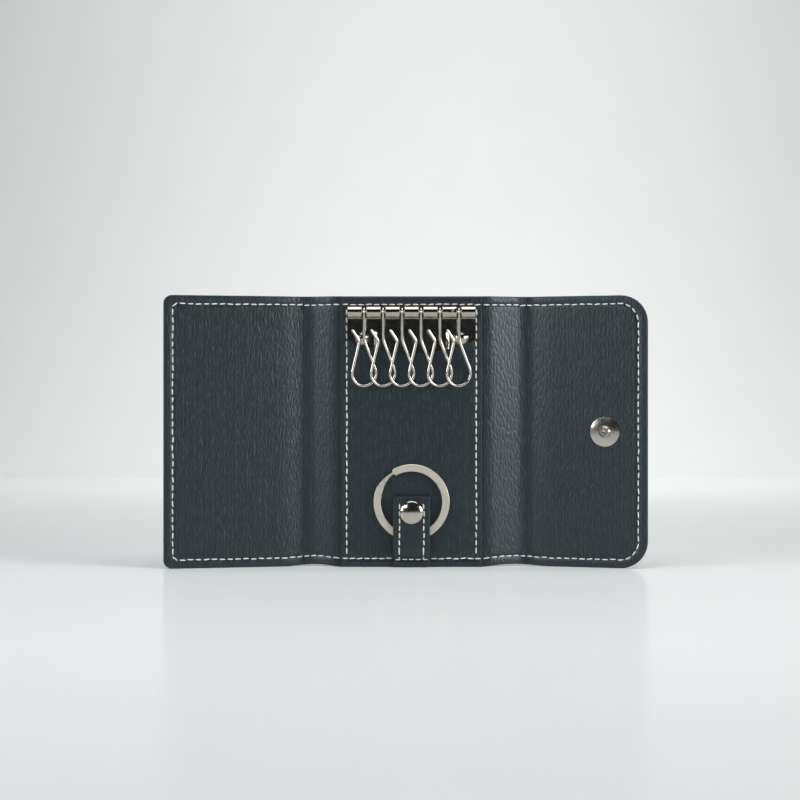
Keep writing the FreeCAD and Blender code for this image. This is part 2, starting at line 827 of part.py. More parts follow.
def make_strap():
    """The two-layer strap over the ring, and the foot where it is sewn to the panel."""
    half = book.strap_width / 2
    foot = new_body("strap_foot")
    sketch = sketch_on(foot, "YZ_Plane", -half)
    sewn_front = panel_front + book.strap_layer * 2
    draw_outline(sketch, [(-sewn_front, book.foot_bottom), (-panel_front, book.foot_bottom),
                          (-panel_front, book.foot_seam_height), (-strap_back, book.strap_bend_height),
                          (-strap_front, book.strap_bend_height), (-sewn_front, book.foot_seam_height)])
    pad(foot, sketch, book.strap_width)
    for label, back in (("ring_strap_backing", strap_back), ("ring_strap", strap_back + book.strap_layer)):
        body, plate = plate_between(label, -half, half, book.strap_bend_height, strap_top,
                                    back, book.strap_layer)
        round_edges(body, plate, book.strap_corner_radius,
                    lambda edge: along_depth(edge) and edge.Vertexes[0].Z > strap_top.value - NEAR)
        drill(body, back + book.strap_layer, [(strap_snap_place, post_hole)])


# Snaps


def stud_profile(seat, flange_radius, flange, nub_radius, nub_height):
    """A snap's stud on a face at the given depth: domed flange with a moat, necked nub with a dimple.

    Gives the outline and the radius of the flange's dome, with the number of the dome's first point.
    """
    rim, top = seat + flange, seat + flange + nub_height
    edge, neck = book.snap_edge, nub_radius - book.nub_neck
    hole, hole_end = post_hole, rim
    moat, dome = nub_radius + book.nub_moat, book.flange_dome
    dome_radius = (flange_radius * flange_radius - moat * moat) / (dome * 2)
    return [(0, top - book.nub_dimple_depth), (book.nub_dimple_radius, top), (nub_radius - edge, top),
            (nub_radius, top - edge), (nub_radius, top - edge * 2), (neck, rim + edge),
            (neck, rim - book.nub_moat_depth), (moat, rim - book.nub_moat_depth), (moat, rim),
            (flange_radius, rim - dome), (flange_radius, seat), (hole, seat), (hole, hole_end),
            (0, hole_end)], {8: dome_radius}


def socket_profile(outward, seat, radius, rise, nub_radius):
    """A snap's socket that rises from a face, with a groove for its spring round the hole.

    outward is 1 where the socket rises towards the viewer's side and -1 where it rises away.
    """
    hole = nub_radius + book.socket_side_gap
    groove = nub_radius + book.spring_side_gap * 2 + book.spring_radius * 2
    middle = rise - book.snap_edge - book.spring_radius - book.spring_side_gap
    half = book.spring_radius + book.spring_side_gap
    edge = book.snap_edge
    heights = [(post_hole, 0), (radius, 0), (radius, rise - edge), (radius - edge, rise), (hole, rise),
               (hole, middle + half), (groove, middle + half), (groove, middle - half),
               (hole, middle - half), (hole, book.socket_floor), (post_hole, book.socket_floor)]
    points = [(across, seat + outward * height) for across, height in heights]
    return points if outward < 0 else points[::-1]


def make_spring(label, outward, seat, rise, nub_radius):
    """The open ring of spring wire in a socket's groove."""
    body = new_body(label)
    middle = rise - book.snap_edge - book.spring_radius - book.spring_side_gap
    sketch = sketch_on(body, "XY_Plane")
    across = nub_radius + book.spring_side_gap + book.spring_radius
    draw_circle(sketch, (across, -(seat + outward * middle)), book.spring_radius)
    turning = body.newObject("PartDesign::Revolution", f"{body.Name}_turn")
    turning.Profile = sketch
    turning.ReferenceAxis = (sketch, ["V_Axis"])
    bind(turning, "Angle", book.spring_sweep)
    return body


def post_profile(outward, flange_seat, end):
    """A hidden snap post: a flat flange against a face, and a post that ends at the given depth."""
    flange_back = flange_seat - outward * book.post_flange
    points = [(0, flange_back), (book.post_flange_radius, flange_back),
              (book.post_flange_radius, flange_seat), (book.post_radius, flange_seat),
              (book.post_radius, end), (0, end)]
    return points if outward < 0 else points[::-1]


def cap_profile(outward, seat, radius, rim, dome, post_end):
    """A snap's domed cap on a face, with its post to the other side of the leather.

    Gives the outline and the radius of the dome, with the number of the dome's first point.
    """
    crown = dome - rim
    dome_radius = (radius * radius + crown * crown) / (crown * 2)
    points = [(0, post_end), (book.post_radius, post_end), (book.post_radius, seat), (radius, seat),
              (radius, seat + outward * rim), (0, seat + outward * dome)]
    if outward < 0:
        return points, {4: dome_radius}
    return points[::-1], {0: dome_radius}


def make_cap(label, outward, seat, radius, rim, dome, edge, post_end):
    """A snap's cap, its sheet rolled round at the edge of the dome."""
    profile, arcs = cap_profile(outward, seat, radius, rim, dome, post_end)
    cap = turned(label, profile, arcs)
    doc.recompute()
    top = as_size(seat + rim * outward).value
    round_edges(cap, cap.Tip, edge, lambda item: abs(item.BoundBox.YMin + top) < NEAR
                and abs(item.BoundBox.YMax + top) < NEAR
                and item.BoundBox.XLength > radius.value * 2 - NEAR)
    return cap


def make_strap_snap():
    """The snap that holds the ring strap shut."""
    up = strap_snap_height
    stud = turned("strap_snap_stud", *stud_profile(panel_front, book.strap_flange_radius, book.strap_flange,
                                                   book.strap_nub_radius, book.strap_nub_height))
    post_end = panel_front + book.strap_flange
    post = turned("strap_snap_post", post_profile(1, panel_back, post_end))
    rise = strap_back - (panel_front + book.strap_flange + book.snap_play)
    socket = turned("strap_snap_socket", socket_profile(-1, strap_back, book.strap_socket_radius, rise,
                                                        book.strap_nub_radius))
    spring = make_spring("strap_snap_spring", -1, strap_back, rise, book.strap_nub_radius)
    cap = make_cap("strap_snap_cap", 1, strap_front, book.strap_cap_radius, book.strap_cap_rim,
                   book.strap_cap_dome, book.strap_cap_edge, strap_back - book.socket_floor)
    for body in (stud, post, socket, spring, cap):
        place(body, center_frame, 0, up)


def make_flap_snap():
    """The snap of the flaps: stud and cap on the right flap, socket on the left flap's outside."""
    stud = turned("flap_snap_stud", *stud_profile(flap_front, book.flap_flange_radius, book.flap_flange,
                                                  book.flap_nub_radius, book.flap_nub_height))
    cap = make_cap("flap_snap_cap", -1, -cover_half, book.flap_cap_radius, book.flap_cap_rim,
                   book.flap_cap_dome, book.flap_cap_edge, flap_front + book.flap_flange)
    for body in (stud, cap):
        place(body, right_flap, flap_stud_along * RIGHT, snap_height)
    rise = book.flap_socket_rise
    socket = turned("flap_snap_socket", socket_profile(-1, -cover_half, book.flap_socket_radius, rise,
                                                       book.flap_nub_radius))
    spring = make_spring("flap_snap_spring", -1, -cover_half, rise, book.flap_nub_radius)
    post = turned("flap_socket_post", post_profile(-1, cover_half, -(cover_half + book.socket_floor)))
    for body in (socket, spring, post):
        place(body, left_flap, flap_socket_along * LEFT, snap_height)


def check_and_write():
    """Stops on any object that failed, then writes one STEP file for each node."""
    doc.recompute()
    for item in doc.Objects:
        if "Invalid" in item.State or "Error" in item.State:
            raise RuntimeError(f"{item.Label}: {item.State}")
    for node in nodes:
        if node.Shape.isNull() or not node.Shape.isValid() or not node.Shape.Solids:
            raise RuntimeError(f"{node.Label}: no valid solid")
    os.makedirs("parts", exist_ok=True)
    for node in nodes:
        node.Shape.exportStep(f"parts/{node.Label}.step")


make_center()
stud_place = (flap_stud_along * RIGHT, snap_height)
socket_place = (flap_socket_along * LEFT, snap_height)
make_flap("left", LEFT, left_flap, left_flap_length, book.left_corner_radius,
          [(socket_place, post_hole)], [(socket_place, book.post_flange_radius + book.board_clearance)], [])
make_flap("right", RIGHT, right_flap, book.right_flap_length, book.right_corner_radius,
          [(stud_place, post_hole)], [(stud_place, post_hole)], [(stud_place, post_hole)])
make_spine("left", LEFT, left_spine, book.left_spine_width)
make_spine("right", RIGHT, right_spine, right_spine_width)
make_folds("left", LEFT, left_spine, book.left_spine_width, book.left_flap_angle)
make_folds("right", RIGHT, right_spine, right_spine_width, book.right_flap_angle)
make_key_plate()
make_rod()
make_rivets()
make_hooks()
make_split_ring()
make_strap()
make_strap_snap()
make_flap_snap()
check_and_write()
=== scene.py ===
"""Looks of a folding leather key case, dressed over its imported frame.

Sizes are in metres. Leather is laid out flat first, as (across, -depth, up): across runs from the middle
of the case, depth from the middle of the outer cover's leather towards the viewer. The flat piece is then
bent along the case's section to where the frame has it.
"""
import logging
import math
import random
from dataclasses import dataclass, field
from enum import Enum
from typing import Callable, Sequence

import bmesh
import bpy
from bmesh.types import BMEdge, BMesh, BMVert
from bpy.types import Material, Node, NodeSocket, NodeTree, Object
from mathutils import Matrix, Vector, noise


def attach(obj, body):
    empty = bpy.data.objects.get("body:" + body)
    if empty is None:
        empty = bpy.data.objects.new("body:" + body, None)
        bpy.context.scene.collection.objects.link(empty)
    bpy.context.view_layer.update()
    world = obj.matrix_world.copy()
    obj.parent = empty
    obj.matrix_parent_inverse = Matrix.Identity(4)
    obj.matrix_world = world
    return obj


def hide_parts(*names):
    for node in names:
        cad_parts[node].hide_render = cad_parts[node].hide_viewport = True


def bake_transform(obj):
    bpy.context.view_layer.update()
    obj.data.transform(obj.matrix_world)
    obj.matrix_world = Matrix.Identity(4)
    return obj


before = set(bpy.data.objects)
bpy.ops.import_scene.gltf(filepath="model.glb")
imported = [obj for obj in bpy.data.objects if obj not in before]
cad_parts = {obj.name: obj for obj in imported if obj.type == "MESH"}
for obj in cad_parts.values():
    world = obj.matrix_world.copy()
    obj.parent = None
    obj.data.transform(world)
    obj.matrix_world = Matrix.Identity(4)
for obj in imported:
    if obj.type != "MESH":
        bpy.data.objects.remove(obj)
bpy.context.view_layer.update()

LOG = logging.getLogger("key_case")
MM = 0.001
NEAR = 1e-6
QUARTER_TURN = math.pi / 2
FLAT_UV = "flat"
# Vertex layer of how far into a seam's dip a point lies; it sinks the leather and paints shade along the seam
SEAM = "seam_dip"
# What most of a noise lies between
NOISE_RANGE = (0.3, 0.7)
# How far a face's normal must point to the front or back for it not to be a rim
FACING = 0.8
# Where the floor of a recess lies on a flat sheet one unit thick, until the sheet gets its real depth
SUNK = 2.0

Bend = Callable[[Vector], Vector]
Spot = tuple[float, float, float]


class Side(Enum):
    """A side of the case, as the viewer of its inner side sees it."""

    LEFT = -1
    RIGHT = 1

    @property
    def number(self) -> int:
        """Gives the side's place in pairs of sizes."""
        return 0 if self is Side.LEFT else 1

    @property
    def word(self) -> str:
        """Gives the side's name in the frame."""
        return self.name.lower()


class Part(Enum):
    """A part of a side, as the number of the bent stretch that leads to it."""

    SPINE = 1
    FLAP = 3


class Face(Enum):
    """The face of the leather that something shows on, as the sign of its depth."""

    INSIDE = 1
    OUTSIDE = -1


class RoundEnd(Enum):
    """The end of a sheet whose corners are rounded, as the axis that it lies along."""

    FAR = 0
    TOP = 2


# Small tools


def ease(share: float) -> float:
    """Gives a smooth step from 0 to 1 as a share rises from 0 to 1."""
    share = min(max(share, 0.0), 1.0)
    return share * share * (3 - 2 * share)


def even(low: float, high: float, step: float) -> list[float]:
    """Gives evenly spaced places between two ends, about a step apart and without the ends."""
    count = max(int(round(abs(high - low) / step)), 1)
    return [low + (high - low) * number / count for number in range(1, count)]


def new_verts(result: dict) -> list[BMVert]:
    """Picks the vertices out of what a bmesh operator made."""
    return [item for item in result["geom"] if isinstance(item, BMVert)]


# Materials


def linear(colour: str) -> tuple[float, float, float, float]:
    """Turns an sRGB hex colour, "#rrggbb", to linear red, green, blue and an alpha of 1."""
    parts = [int(colour[start:start + 2], 16) / 255 for start in (1, 3, 5)]
    return *(part / 12.92 if part <= 0.04045 else ((part + 0.055) / 1.055) ** 2.4 for part in parts), 1.0


def feed(tree: NodeTree, node: Node, values: dict) -> None:
    """Sets a node's inputs.

    Args:
        tree: The node tree.
        node: The node.
        values: For each input's name or number, a constant or the output that is linked to it.
    """
    for name, value in values.items():
        if isinstance(value, NodeSocket):
            tree.links.new(value, node.inputs[name])
        else:
            node.inputs[name].default_value = value


def add_node(tree: NodeTree, kind: str, values: dict | None = None, **settings: object) -> Node:
    """Adds one shader node.

    Args:
        tree: The node tree.
        kind: The node's type, without the words that all shader nodes start with.
        values: Its inputs, as feed takes them.
        settings: Its own properties.

    Returns:
        The new node.
    """
    node = tree.nodes.new(f"ShaderNode{kind}")
    for name, setting in settings.items():
        setattr(node, name, setting)
    feed(tree, node, values or {})
    return node


def new_material(name: str) -> tuple[Material, NodeTree, Node]:
    """Makes a material with one Principled shader.

    Args:
        name: The material's name.

    Returns:
        The material, its node tree and its shader node.
    """
    material = bpy.data.materials.new(name)
    material.use_nodes = True
    tree = material.node_tree
    tree.nodes.clear()
    shader = add_node(tree, "BsdfPrincipled")
    add_node(tree, "OutputMaterial", {"Surface": shader.outputs["BSDF"]})
    return material, tree, shader


def place_in(tree: NodeTree) -> NodeSocket:
    """Gives the point in Object coordinates."""
    return add_node(tree, "TexCoord").outputs["Object"]


def flat_in(tree: NodeTree) -> NodeSocket:
    """Gives the point on the flat layout."""
    return add_node(tree, "UVMap", uv_map=FLAT_UV).outputs[0]


def scaled(tree: NodeTree, point: NodeSocket, scale: Spot, **moved: Spot) -> NodeSocket:
    """Scales a point, and turns or moves it by the mapping's other inputs."""
    return add_node(tree, "Mapping", {"Vector": point, "Scale": scale, **moved}).outputs[0]


def clouds(tree: NodeTree, point: NodeSocket, size: float, detail: float, roughness: float = 0.5,
           output: str = "Fac") -> NodeSocket:
    """Gives noise of a size, with octaves of detail and the roughness that they keep."""
    values = {"Vector": point, "Scale": 1 / size, "Detail": detail, "Roughness": roughness}
    return add_node(tree, "TexNoise", values).outputs[output]


def sums(tree: NodeTree, operation: str, *values: NodeSocket | float) -> NodeSocket:
    """Gives the result of one step of arithmetic."""
    return add_node(tree, "Math", dict(enumerate(values)), operation=operation).outputs[0]


def ranged(tree: NodeTree, value: NodeSocket, given: Sequence[float], wanted: Sequence[float] = (0.0, 1.0),
           curve: str = "LINEAR") -> NodeSocket:
    """Takes a value from a given range to the wanted one, and stops it at the ends."""
    values = dict(zip(("Value", "From Min", "From Max", "To Min", "To Max"), (value, *given, *wanted)))
    return add_node(tree, "MapRange", values, interpolation_type=curve).outputs[0]


def mixed(tree: NodeTree, share: NodeSocket, first: NodeSocket | str, second: str) -> NodeSocket:
    """Mixes two colours in hex, the first of which may be an output, by the share of the second."""
    values = {"Factor": share, "A": linear(first) if isinstance(first, str) else first, "B": linear(second)}
    return add_node(tree, "Mix", values, data_type="RGBA").outputs["Result"]


def bumped(tree: NodeTree, height: NodeSocket, depth: float, strength: float = 1.0) -> NodeSocket:
    """Gives the normal of a relief as deep as given."""
    return add_node(tree, "Bump", {"Height": height, "Strength": strength, "Distance": depth}).outputs[0]


@dataclass(frozen=True)
class GrainedLeather:
    """Drum-tumbled cow leather, pigment finished: soft pebbles under thin upright lines that catch light.

    Attributes:
        name: The material's name.
        colour: The pigment where the hide is lightest.
        shade: The pigment in the hide's darker clouds.
        line: The colour of the thin lines, partly their paler pigment and partly painted highlight where
            their flanks catch light.
        drawn: The colour of painted shade along a seam, in the dip where the thread has pulled the leather
            in.
        seam_shade_share: How far that painted shade shows.
        gleam: The tint of its gloss.
        gloss: The strength of its gloss.
        cloud: Size of the clouds.
        pebble: Width and length of a pebble.
        crease: Width of the creases between pebbles, as a share of a pebble.
        waver: How often and how far the creases waver.
        nets: For each set of lines, how far apart they are and how far they wander, in gaps.
        net_width: How wide the wandering is, as a share of its length in gaps.
        net_shift: How far the wandering of a set lies from that of the set before it, and where all start.
        line_width: Width of a line, drawn a little coarser than it is so that it shows.
        line_pigment_and_highlight: How far a line's paler colour, pigment and painted highlight, stands out.
        line_length: About how long a line runs before it breaks.
        break_often: How often lines break across and along the hide, in lengths of a line.
        breaks: The range of the noise over which lines fade in.
        pore: Size of a pore.
        heights: Height of pebbles and of pores, where that of a line is 1.
        relief: Real height of a line.
        roughness: Roughness of the finish.
        rub: How much rougher it is between pores and smoother on them.
    """

    name: str
    colour: str = "#20292d"
    shade: str = "#171d20"
    line: str = "#7f8b91"
    drawn: str = "#0d1113"
    seam_shade_share: float = 0.6
    gleam: str = "#e0ecf4"
    gloss: float = 0.62
    cloud: float = 6.0 * MM
    pebble: tuple[float, float] = (1.5 * MM, 4.0 * MM)
    crease: float = 0.3
    waver: tuple[float, float] = (2.4 * MM, 1.15 * MM)
    nets: tuple[tuple[float, float], ...] = ((1.5 * MM, 1.9), (2.4 * MM, 1.7))
    net_width: float = 0.6
    net_shift: tuple[float, float] = (17.0, 5.0)
    line_width: float = 0.3 * MM
    line_pigment_and_highlight: float = 0.13
    line_length: float = 4.2 * MM
    break_often: tuple[float, float] = (1.8, 1.2)
    breaks: tuple[float, float] = (0.40, 0.66)
    pore: float = 0.36 * MM
    heights: tuple[float, float] = (1.2, 0.6)
    relief: float = 0.033 * MM
    roughness: float = 0.35
    rub: tuple[float, float] = (0.05, -0.04)

    def lines(self, tree: NodeTree, flat: NodeSocket) -> NodeSocket:
        """Draws the sets of thin lines, which wander up the hide and break.

        Args:
            tree: The material's node tree.
            flat: The point on the flat leather.

        Returns:
            An output that is 1 on a line and 0 off it.
        """
        across = add_node(tree, "SeparateXYZ", {0: flat}).outputs[0]
        total: NodeSocket | float = 0.0
        for number, (gap, wander) in enumerate(self.nets):
            tall = scaled(tree, flat, (self.net_width / gap, 1 / self.line_length, 1.0),
                          Location=(self.net_shift[0] * number, self.net_shift[1], 0.0))
            drift = clouds(tree, tall, 1.0, 4.0, 0.55)
            beat = sums(tree, "PINGPONG", sums(tree, "MULTIPLY_ADD", drift, wander * gap, across), gap / 2)
            drawn = ranged(tree, beat, (0.0, self.line_width / 2), (1.0, 0.0), "SMOOTHSTEP")
            total = sums(tree, "MAXIMUM", drawn, total)
        short = scaled(tree, flat, (*(often / self.line_length for often in self.break_often), 1.0))
        kept = ranged(tree, clouds(tree, short, 1.0, 3.0, 0.6), self.breaks)
        return sums(tree, "MULTIPLY", total, kept)

    def pebbles(self, tree: NodeTree, flat: NodeSocket) -> NodeSocket:
        """Draws the pebbles, with wavy creases between them.

        Args:
            tree: The material's node tree.
            flat: The point on the flat leather.

        Returns:
            An output that is 1 on a pebble and 0 in a crease.
        """
        often, far = self.waver
        warp = clouds(tree, flat, often, 2.0, output="Color")
        wavy = add_node(tree, "VectorMath", {0: warp, 1: (far,) * 3, 2: flat}, operation="MULTIPLY_ADD")
        cells = scaled(tree, wavy.outputs[0], (1 / self.pebble[0], 1 / self.pebble[1], 1.0))
        edges = add_node(tree, "TexVoronoi", {"Vector": cells, "Scale": 1.0, "Randomness": 1.0},
                         voronoi_dimensions="2D", feature="DISTANCE_TO_EDGE")
        return ranged(tree, edges.outputs["Distance"], (0.0, self.crease), curve="SMOOTHSTEP")

    def material(self) -> Material:
        """Builds the leather's nodes on the flat layout.

        Returns:
            The material.
        """
        material, tree, shader = new_material(self.name)
        flat = flat_in(tree)
        marks, pores = self.lines(tree, flat), clouds(tree, flat, self.pore, 2.0, 0.6)
        domes = sums(tree, "MULTIPLY_ADD", self.pebbles(tree, flat), self.heights[0], marks)
        height = sums(tree, "MULTIPLY_ADD", pores, self.heights[1], domes)
        ground = mixed(tree, clouds(tree, flat, self.cloud, 4.0, 0.65), self.shade, self.colour)
        # The thin lines are painted paler: partly their pigment, partly painted highlight where their flanks
        # catch light.
        lined = mixed(tree, sums(tree, "MULTIPLY", marks, self.line_pigment_and_highlight), ground, self.line)
        # Painted shade along each seam, darkest in the dip on the stitch line.
        dip = add_node(tree, "Attribute", attribute_name=SEAM).outputs["Fac"]
        rough = [self.roughness + more for more in self.rub]
        feed(tree, shader, {
            "Base Color": mixed(tree, sums(tree, "MULTIPLY", dip, self.seam_shade_share), lined, self.drawn),
            "Roughness": ranged(tree, pores, NOISE_RANGE, rough),
            "Normal": bumped(tree, height, self.relief),
            "Specular Tint": linear(self.gleam),
            "Specular IOR Level": self.gloss,
        })
        return material


@dataclass(frozen=True)
class TwistedThread:
    """Bonded polyester thread, three-ply: pale, softly lustrous, with slanting lines of twist."""

    name: str = "bonded sewing thread"
    colour: str = "#f6f5f0"
    shadow: str = "#c6c6c0"
    plies: float = 5.0
    slant: float = 35.0
    groove: float = 0.06 * MM
    roughness: float = 0.55
    sheen: float = 0.2

    def material(self) -> Material:
        """Builds the thread's nodes on each stitch's own round-and-along layout.

        Returns:
            The material.
        """
        material, tree, shader = new_material(self.name)
        slanted = scaled(tree, flat_in(tree), (self.plies,) * 3, Rotation=(0, 0, math.radians(self.slant)))
        twist = add_node(tree, "TexWave", {"Vector": slanted, "Scale": 0.5, "Distortion": 0.6},
                         bands_direction="Y").outputs["Fac"]
        feed(tree, shader, {"Base Color": mixed(tree, twist, self.shadow, self.colour),
                            "Normal": bumped(tree, twist, self.groove, 0.5),
                            "Roughness": self.roughness, "Sheen Weight": self.sheen})
        return material


@dataclass(frozen=True)
class PlatedMetal:
    """Stamped or drawn metal, tumbled and nickel plated: a mirror with faint haze and hairlines."""

    name: str
    colour: str
    haze: str
    roughness: float
    haze_size: float = 3.0 * MM
    haze_roughness: tuple[float, float] = (0.8, 1.25)
    hairline: float = 0.25 * MM
    hairline_stretch: Spot = (0.12, 1.0, 1.0)
    hairline_depth: float = 0.004 * MM

    def material(self) -> Material:
        """Builds the plating's nodes on Object coordinates.

        Returns:
            The material.
        """
        material, tree, shader = new_material(self.name)
        place = place_in(tree)
        haze = clouds(tree, place, self.haze_size, 4.0, 0.6)
        hair = clouds(tree, scaled(tree, place, self.hairline_stretch), self.hairline, 2.0)
        rough = [self.roughness * share for share in self.haze_roughness]
        feed(tree, shader, {"Base Color": mixed(tree, haze, self.colour, self.haze),
                            "Roughness": ranged(tree, haze, NOISE_RANGE, rough),
                            "Normal": bumped(tree, hair, self.hairline_depth), "Metallic": 1.0})
        return material


@dataclass(frozen=True)
class MottledSurface:
    """A plain surface with two tones that drift into each other.

    Attributes:
        name: The material's name.
        tones: The two colours.
        size: Size of the drift.
        detail: Octaves of the drift and the roughness that they keep.
        roughness: Roughness of the surface.
        ripple: Strength and height of a ripple that goes with the drift.
        ior: How much it reflects, where that isn't the usual.
    """

    name: str
    tones: tuple[str, str]
    size: float
    detail: tuple[float, float]
    roughness: float
    ripple: tuple[float, float] | None = None
    ior: float | None = None

    def material(self) -> Material:
        """Builds the surface's nodes on Object coordinates.

        Returns:
            The material.
        """
        material, tree, shader = new_material(self.name)
        drift = clouds(tree, place_in(tree), self.size, *self.detail)
        feed(tree, shader, {"Base Color": mixed(tree, drift, *self.tones), "Roughness": self.roughness})
        if self.ripple:
            strength, height = self.ripple
            feed(tree, shader, {"Normal": bumped(tree, drift, height, strength)})
        if self.ior:
            feed(tree, shader, {"IOR": self.ior})
        return material


@dataclass(frozen=True)
class EdgePaint(MottledSurface):
    """Cut leather edge, sanded and painted: a near-black satin line with a slight ripple."""

    name: str = "painted leather edge"
    tones: tuple[str, str] = ("#15191b", "#23292c")
    size: float = 0.9 * MM
    detail: tuple[float, float] = (3.0, 0.5)
    roughness: float = 0.6
    ripple: tuple[float, float] | None = (0.6, 0.08 * MM)


@dataclass(frozen=True)
class FibreBoard(MottledSurface):
    """Pressed paper board, calendered: dull buff with darker flecks of fibre."""

    name: str = "pressed fibre board"
    tones: tuple[str, str] = ("#8a7a60", "#b3a489")
    size: float = 0.8 * MM
    detail: tuple[float, float] = (5.0, 0.7)
    roughness: float = 0.9


@dataclass(frozen=True)
class PaleSweep(MottledSurface):
    """Pale acrylic studio sweep: satin white with a faint mirror at low angles."""

    name: str = "pale acrylic sweep"
    tones: tuple[str, str] = ("#ebefef", "#eff2f2")
    size: float = 60.0 * MM
    detail: tuple[float, float] = (1.0, 0.5)
    roughness: float = 0.16
    ior: float | None = 1.03


# The case's section


@dataclass(frozen=True)
class Stretch:
    """A stretch of leather, straight or evenly bent.

    Attributes:
        length: Its length.
        turn: How far its heading turns to the left, in radians.
    """

    length: float
    turn: float = 0.0


@dataclass(frozen=True)
class Ribbon:
    """A line of stretches that leather follows, from the origin along the first axis."""

    stretches: tuple[Stretch, ...]

    def at(self, along: float) -> Spot:
        """Follows the line.

        Args:
            along: The distance along it.

        Returns:
            The two coordinates and the heading there.
        """
        first = second = heading = 0.0
        for stretch in self.stretches:
            last = stretch is self.stretches[-1]
            part = along if last else min(along, stretch.length)
            if stretch.turn:
                radius = stretch.length / stretch.turn
                after = heading + part / radius
                first += radius * (math.sin(after) - math.sin(heading))
                second += radius * (math.cos(heading) - math.cos(after))
                heading = after
            else:
                first += math.cos(heading) * part
                second += math.sin(heading) * part
            along -= part
            if along <= 0:
                break
        return first, second, heading

    def ends(self) -> list[float]:
        """Gives the distance along the line at which each stretch ends."""
        lengths = [stretch.length for stretch in self.stretches]
        return [sum(lengths[:number + 1]) for number in range(len(lengths))]


@dataclass(frozen=True)
class CaseSection:
    """The open case seen from above: a flat centre, spines that lean back and flaps that come forward.

    Pairs of sizes are for the left and the right side. A reach is how far a bend goes to each side of its
    fold's line, a front is the depth of a face, and a rise is how far the lower edge is drawn up.
    """

    height: float = 108.4 * MM
    panel_half: float = 28.2 * MM
    fold_reach: float = 2.4 * MM
    soft_reach: float = 4.2 * MM
    left_crown: float = 0.36 * MM
    spine_angle: float = 20.0
    spine_widths: tuple[float, float] = (11.6 * MM, 16.5 * MM)
    flap_angles: tuple[float, float] = (14.0, 19.0)
    flap_lengths: tuple[float, float] = (58.6 * MM, 50.2 * MM)
    corner_radii: tuple[float, float] = (3.2 * MM, 10.8 * MM)
    cover_half: float = 0.6 * MM
    spine_front: float = 1.4 * MM
    flap_front: float = 2.0 * MM
    panel_front: float = 2.8 * MM
    climb: float = 11.0 * MM
    spine_rise: float = 0.85 * MM
    rise_past_fold: float = 9 * MM
    rise_lean: float = 0.7

    @staticmethod
    def fold(turn: float, reach: float) -> Stretch:
        """Gives the bent stretch of a fold, from its turn in degrees and its reach."""
        angle = math.radians(turn)
        return Stretch(reach / math.tan(abs(angle) / 2) * abs(angle), angle)

    def ribbon(self, side: Side) -> Ribbon:
        """Gives the middle line of the cover from the middle of the case to a free edge.

        Args:
            side: Which side.

        Returns:
            The line.
        """
        spine = self.spine_widths[side.number] - self.fold_reach - self.soft_reach
        flap = self.flap_lengths[side.number] - self.soft_reach
        outer = self.fold(-self.spine_angle - self.flap_angles[side.number], self.soft_reach)
        return Ribbon((Stretch(self.panel_half), self.fold(self.spine_angle, self.fold_reach), Stretch(spine),
                       outer, Stretch(flap)))

    def stations(self, side: Side) -> list[float]:
        """Gives the distances at which centre, inner fold, spine, outer fold and flap end."""
        return self.ribbon(side).ends()

    def mid_spine(self, side: Side) -> float:
        """Gives the distance to the middle of a spine."""
        ends = self.stations(side)
        return (ends[1] + ends[2]) / 2

    def rise(self, side: Side, along: float) -> float:
        """Gives how far the lower edge is drawn up at a place, most at the spine.

        Args:
            side: Which side.
            along: The distance from the middle of the case.

        Returns:
            The rise.
        """
        ends = self.stations(side)
        start, end = ends[0], ends[3] + self.rise_past_fold
        if not start < along < end:
            return 0.0
        share = ((along - start) / (end - start)) ** self.rise_lean
        return self.spine_rise * math.sin(math.pi * share) ** 2

    def place(self, flat: Vector) -> Vector:
        """Bends a point of the flat leather to its place.

        Args:
            flat: The point as (across, -depth, up).

        Returns:
            The point in the frame.
        """
        side = Side.LEFT if flat.x < 0 else Side.RIGHT
        along, depth = abs(flat.x), -flat.y
        first, second, heading = self.ribbon(side).at(along)
        first += math.sin(heading) * depth
        second -= math.cos(heading) * depth
        below = max(1 - flat.z / self.height, 0.0)
        return Vector((side.value * first, second, flat.z + self.rise(side, along) * below ** 3))

    def lining_front(self, along: float, side: Side) -> float:
        """Gives the depth of a lining's face, which climbs from the spine onto the flap's board.

        Args:
            along: The distance from the middle of the case.
            side: Which side.

        Returns:
            The depth.
        """
        ends = self.stations(side)
        share = ease((along - ends[3] + self.climb / 3) / self.climb)
        front = self.spine_front + (self.flap_front - self.spine_front) * share
        if side is Side.LEFT and along > ends[3]:
            flap = (along - ends[3]) / (ends[4] - ends[3])
            front += self.left_crown * 4 * flap * (1 - flap)
        return front


# Leather


def finish_mesh(name: str, shape: BMesh, finishes: Sequence[Material], sharp: float = 38.0) -> Object:
    """Turns a bmesh into an object at the origin, its faces outward and smooth but for its sharp edges.

    Args:
        name: The piece's name.
        shape: The bmesh, which is freed.
        finishes: The materials, in the order of the faces' numbers.
        sharp: The angle in degrees past which an edge is sharp.

    Returns:
        The object.
    """
    bmesh.ops.recalc_face_normals(shape, faces=shape.faces[:])
    for face in shape.faces:
        face.smooth = True
    for edge in shape.edges:
        edge.smooth = edge.is_manifold and edge.calc_face_angle(0.0) < math.radians(sharp)
    mesh = bpy.data.meshes.new(name)
    shape.to_mesh(mesh)
    shape.free()
    for finish in finishes:
        mesh.materials.append(finish)
    piece = bpy.data.objects.new(name, mesh)
    bpy.context.scene.collection.objects.link(piece)
    return piece


def cut(shape: BMesh, places: Sequence[float], axis: int, snap: float = 1e-7) -> None:
    """Cuts a flat piece with upright or level lines, so that it can bend.

    Args:
        shape: The bmesh.
        places: Where the cuts lie along the axis.
        axis: The axis that they are square to.
        snap: How close to a cut a vertex is taken to lie on it.
    """
    normal = Vector([float(number == axis) for number in range(3)])
    for place in places:
        geometry = shape.verts[:] + shape.edges[:] + shape.faces[:]
        bmesh.ops.bisect_plane(shape, geom=geometry, dist=snap, plane_co=normal * place, plane_no=normal)


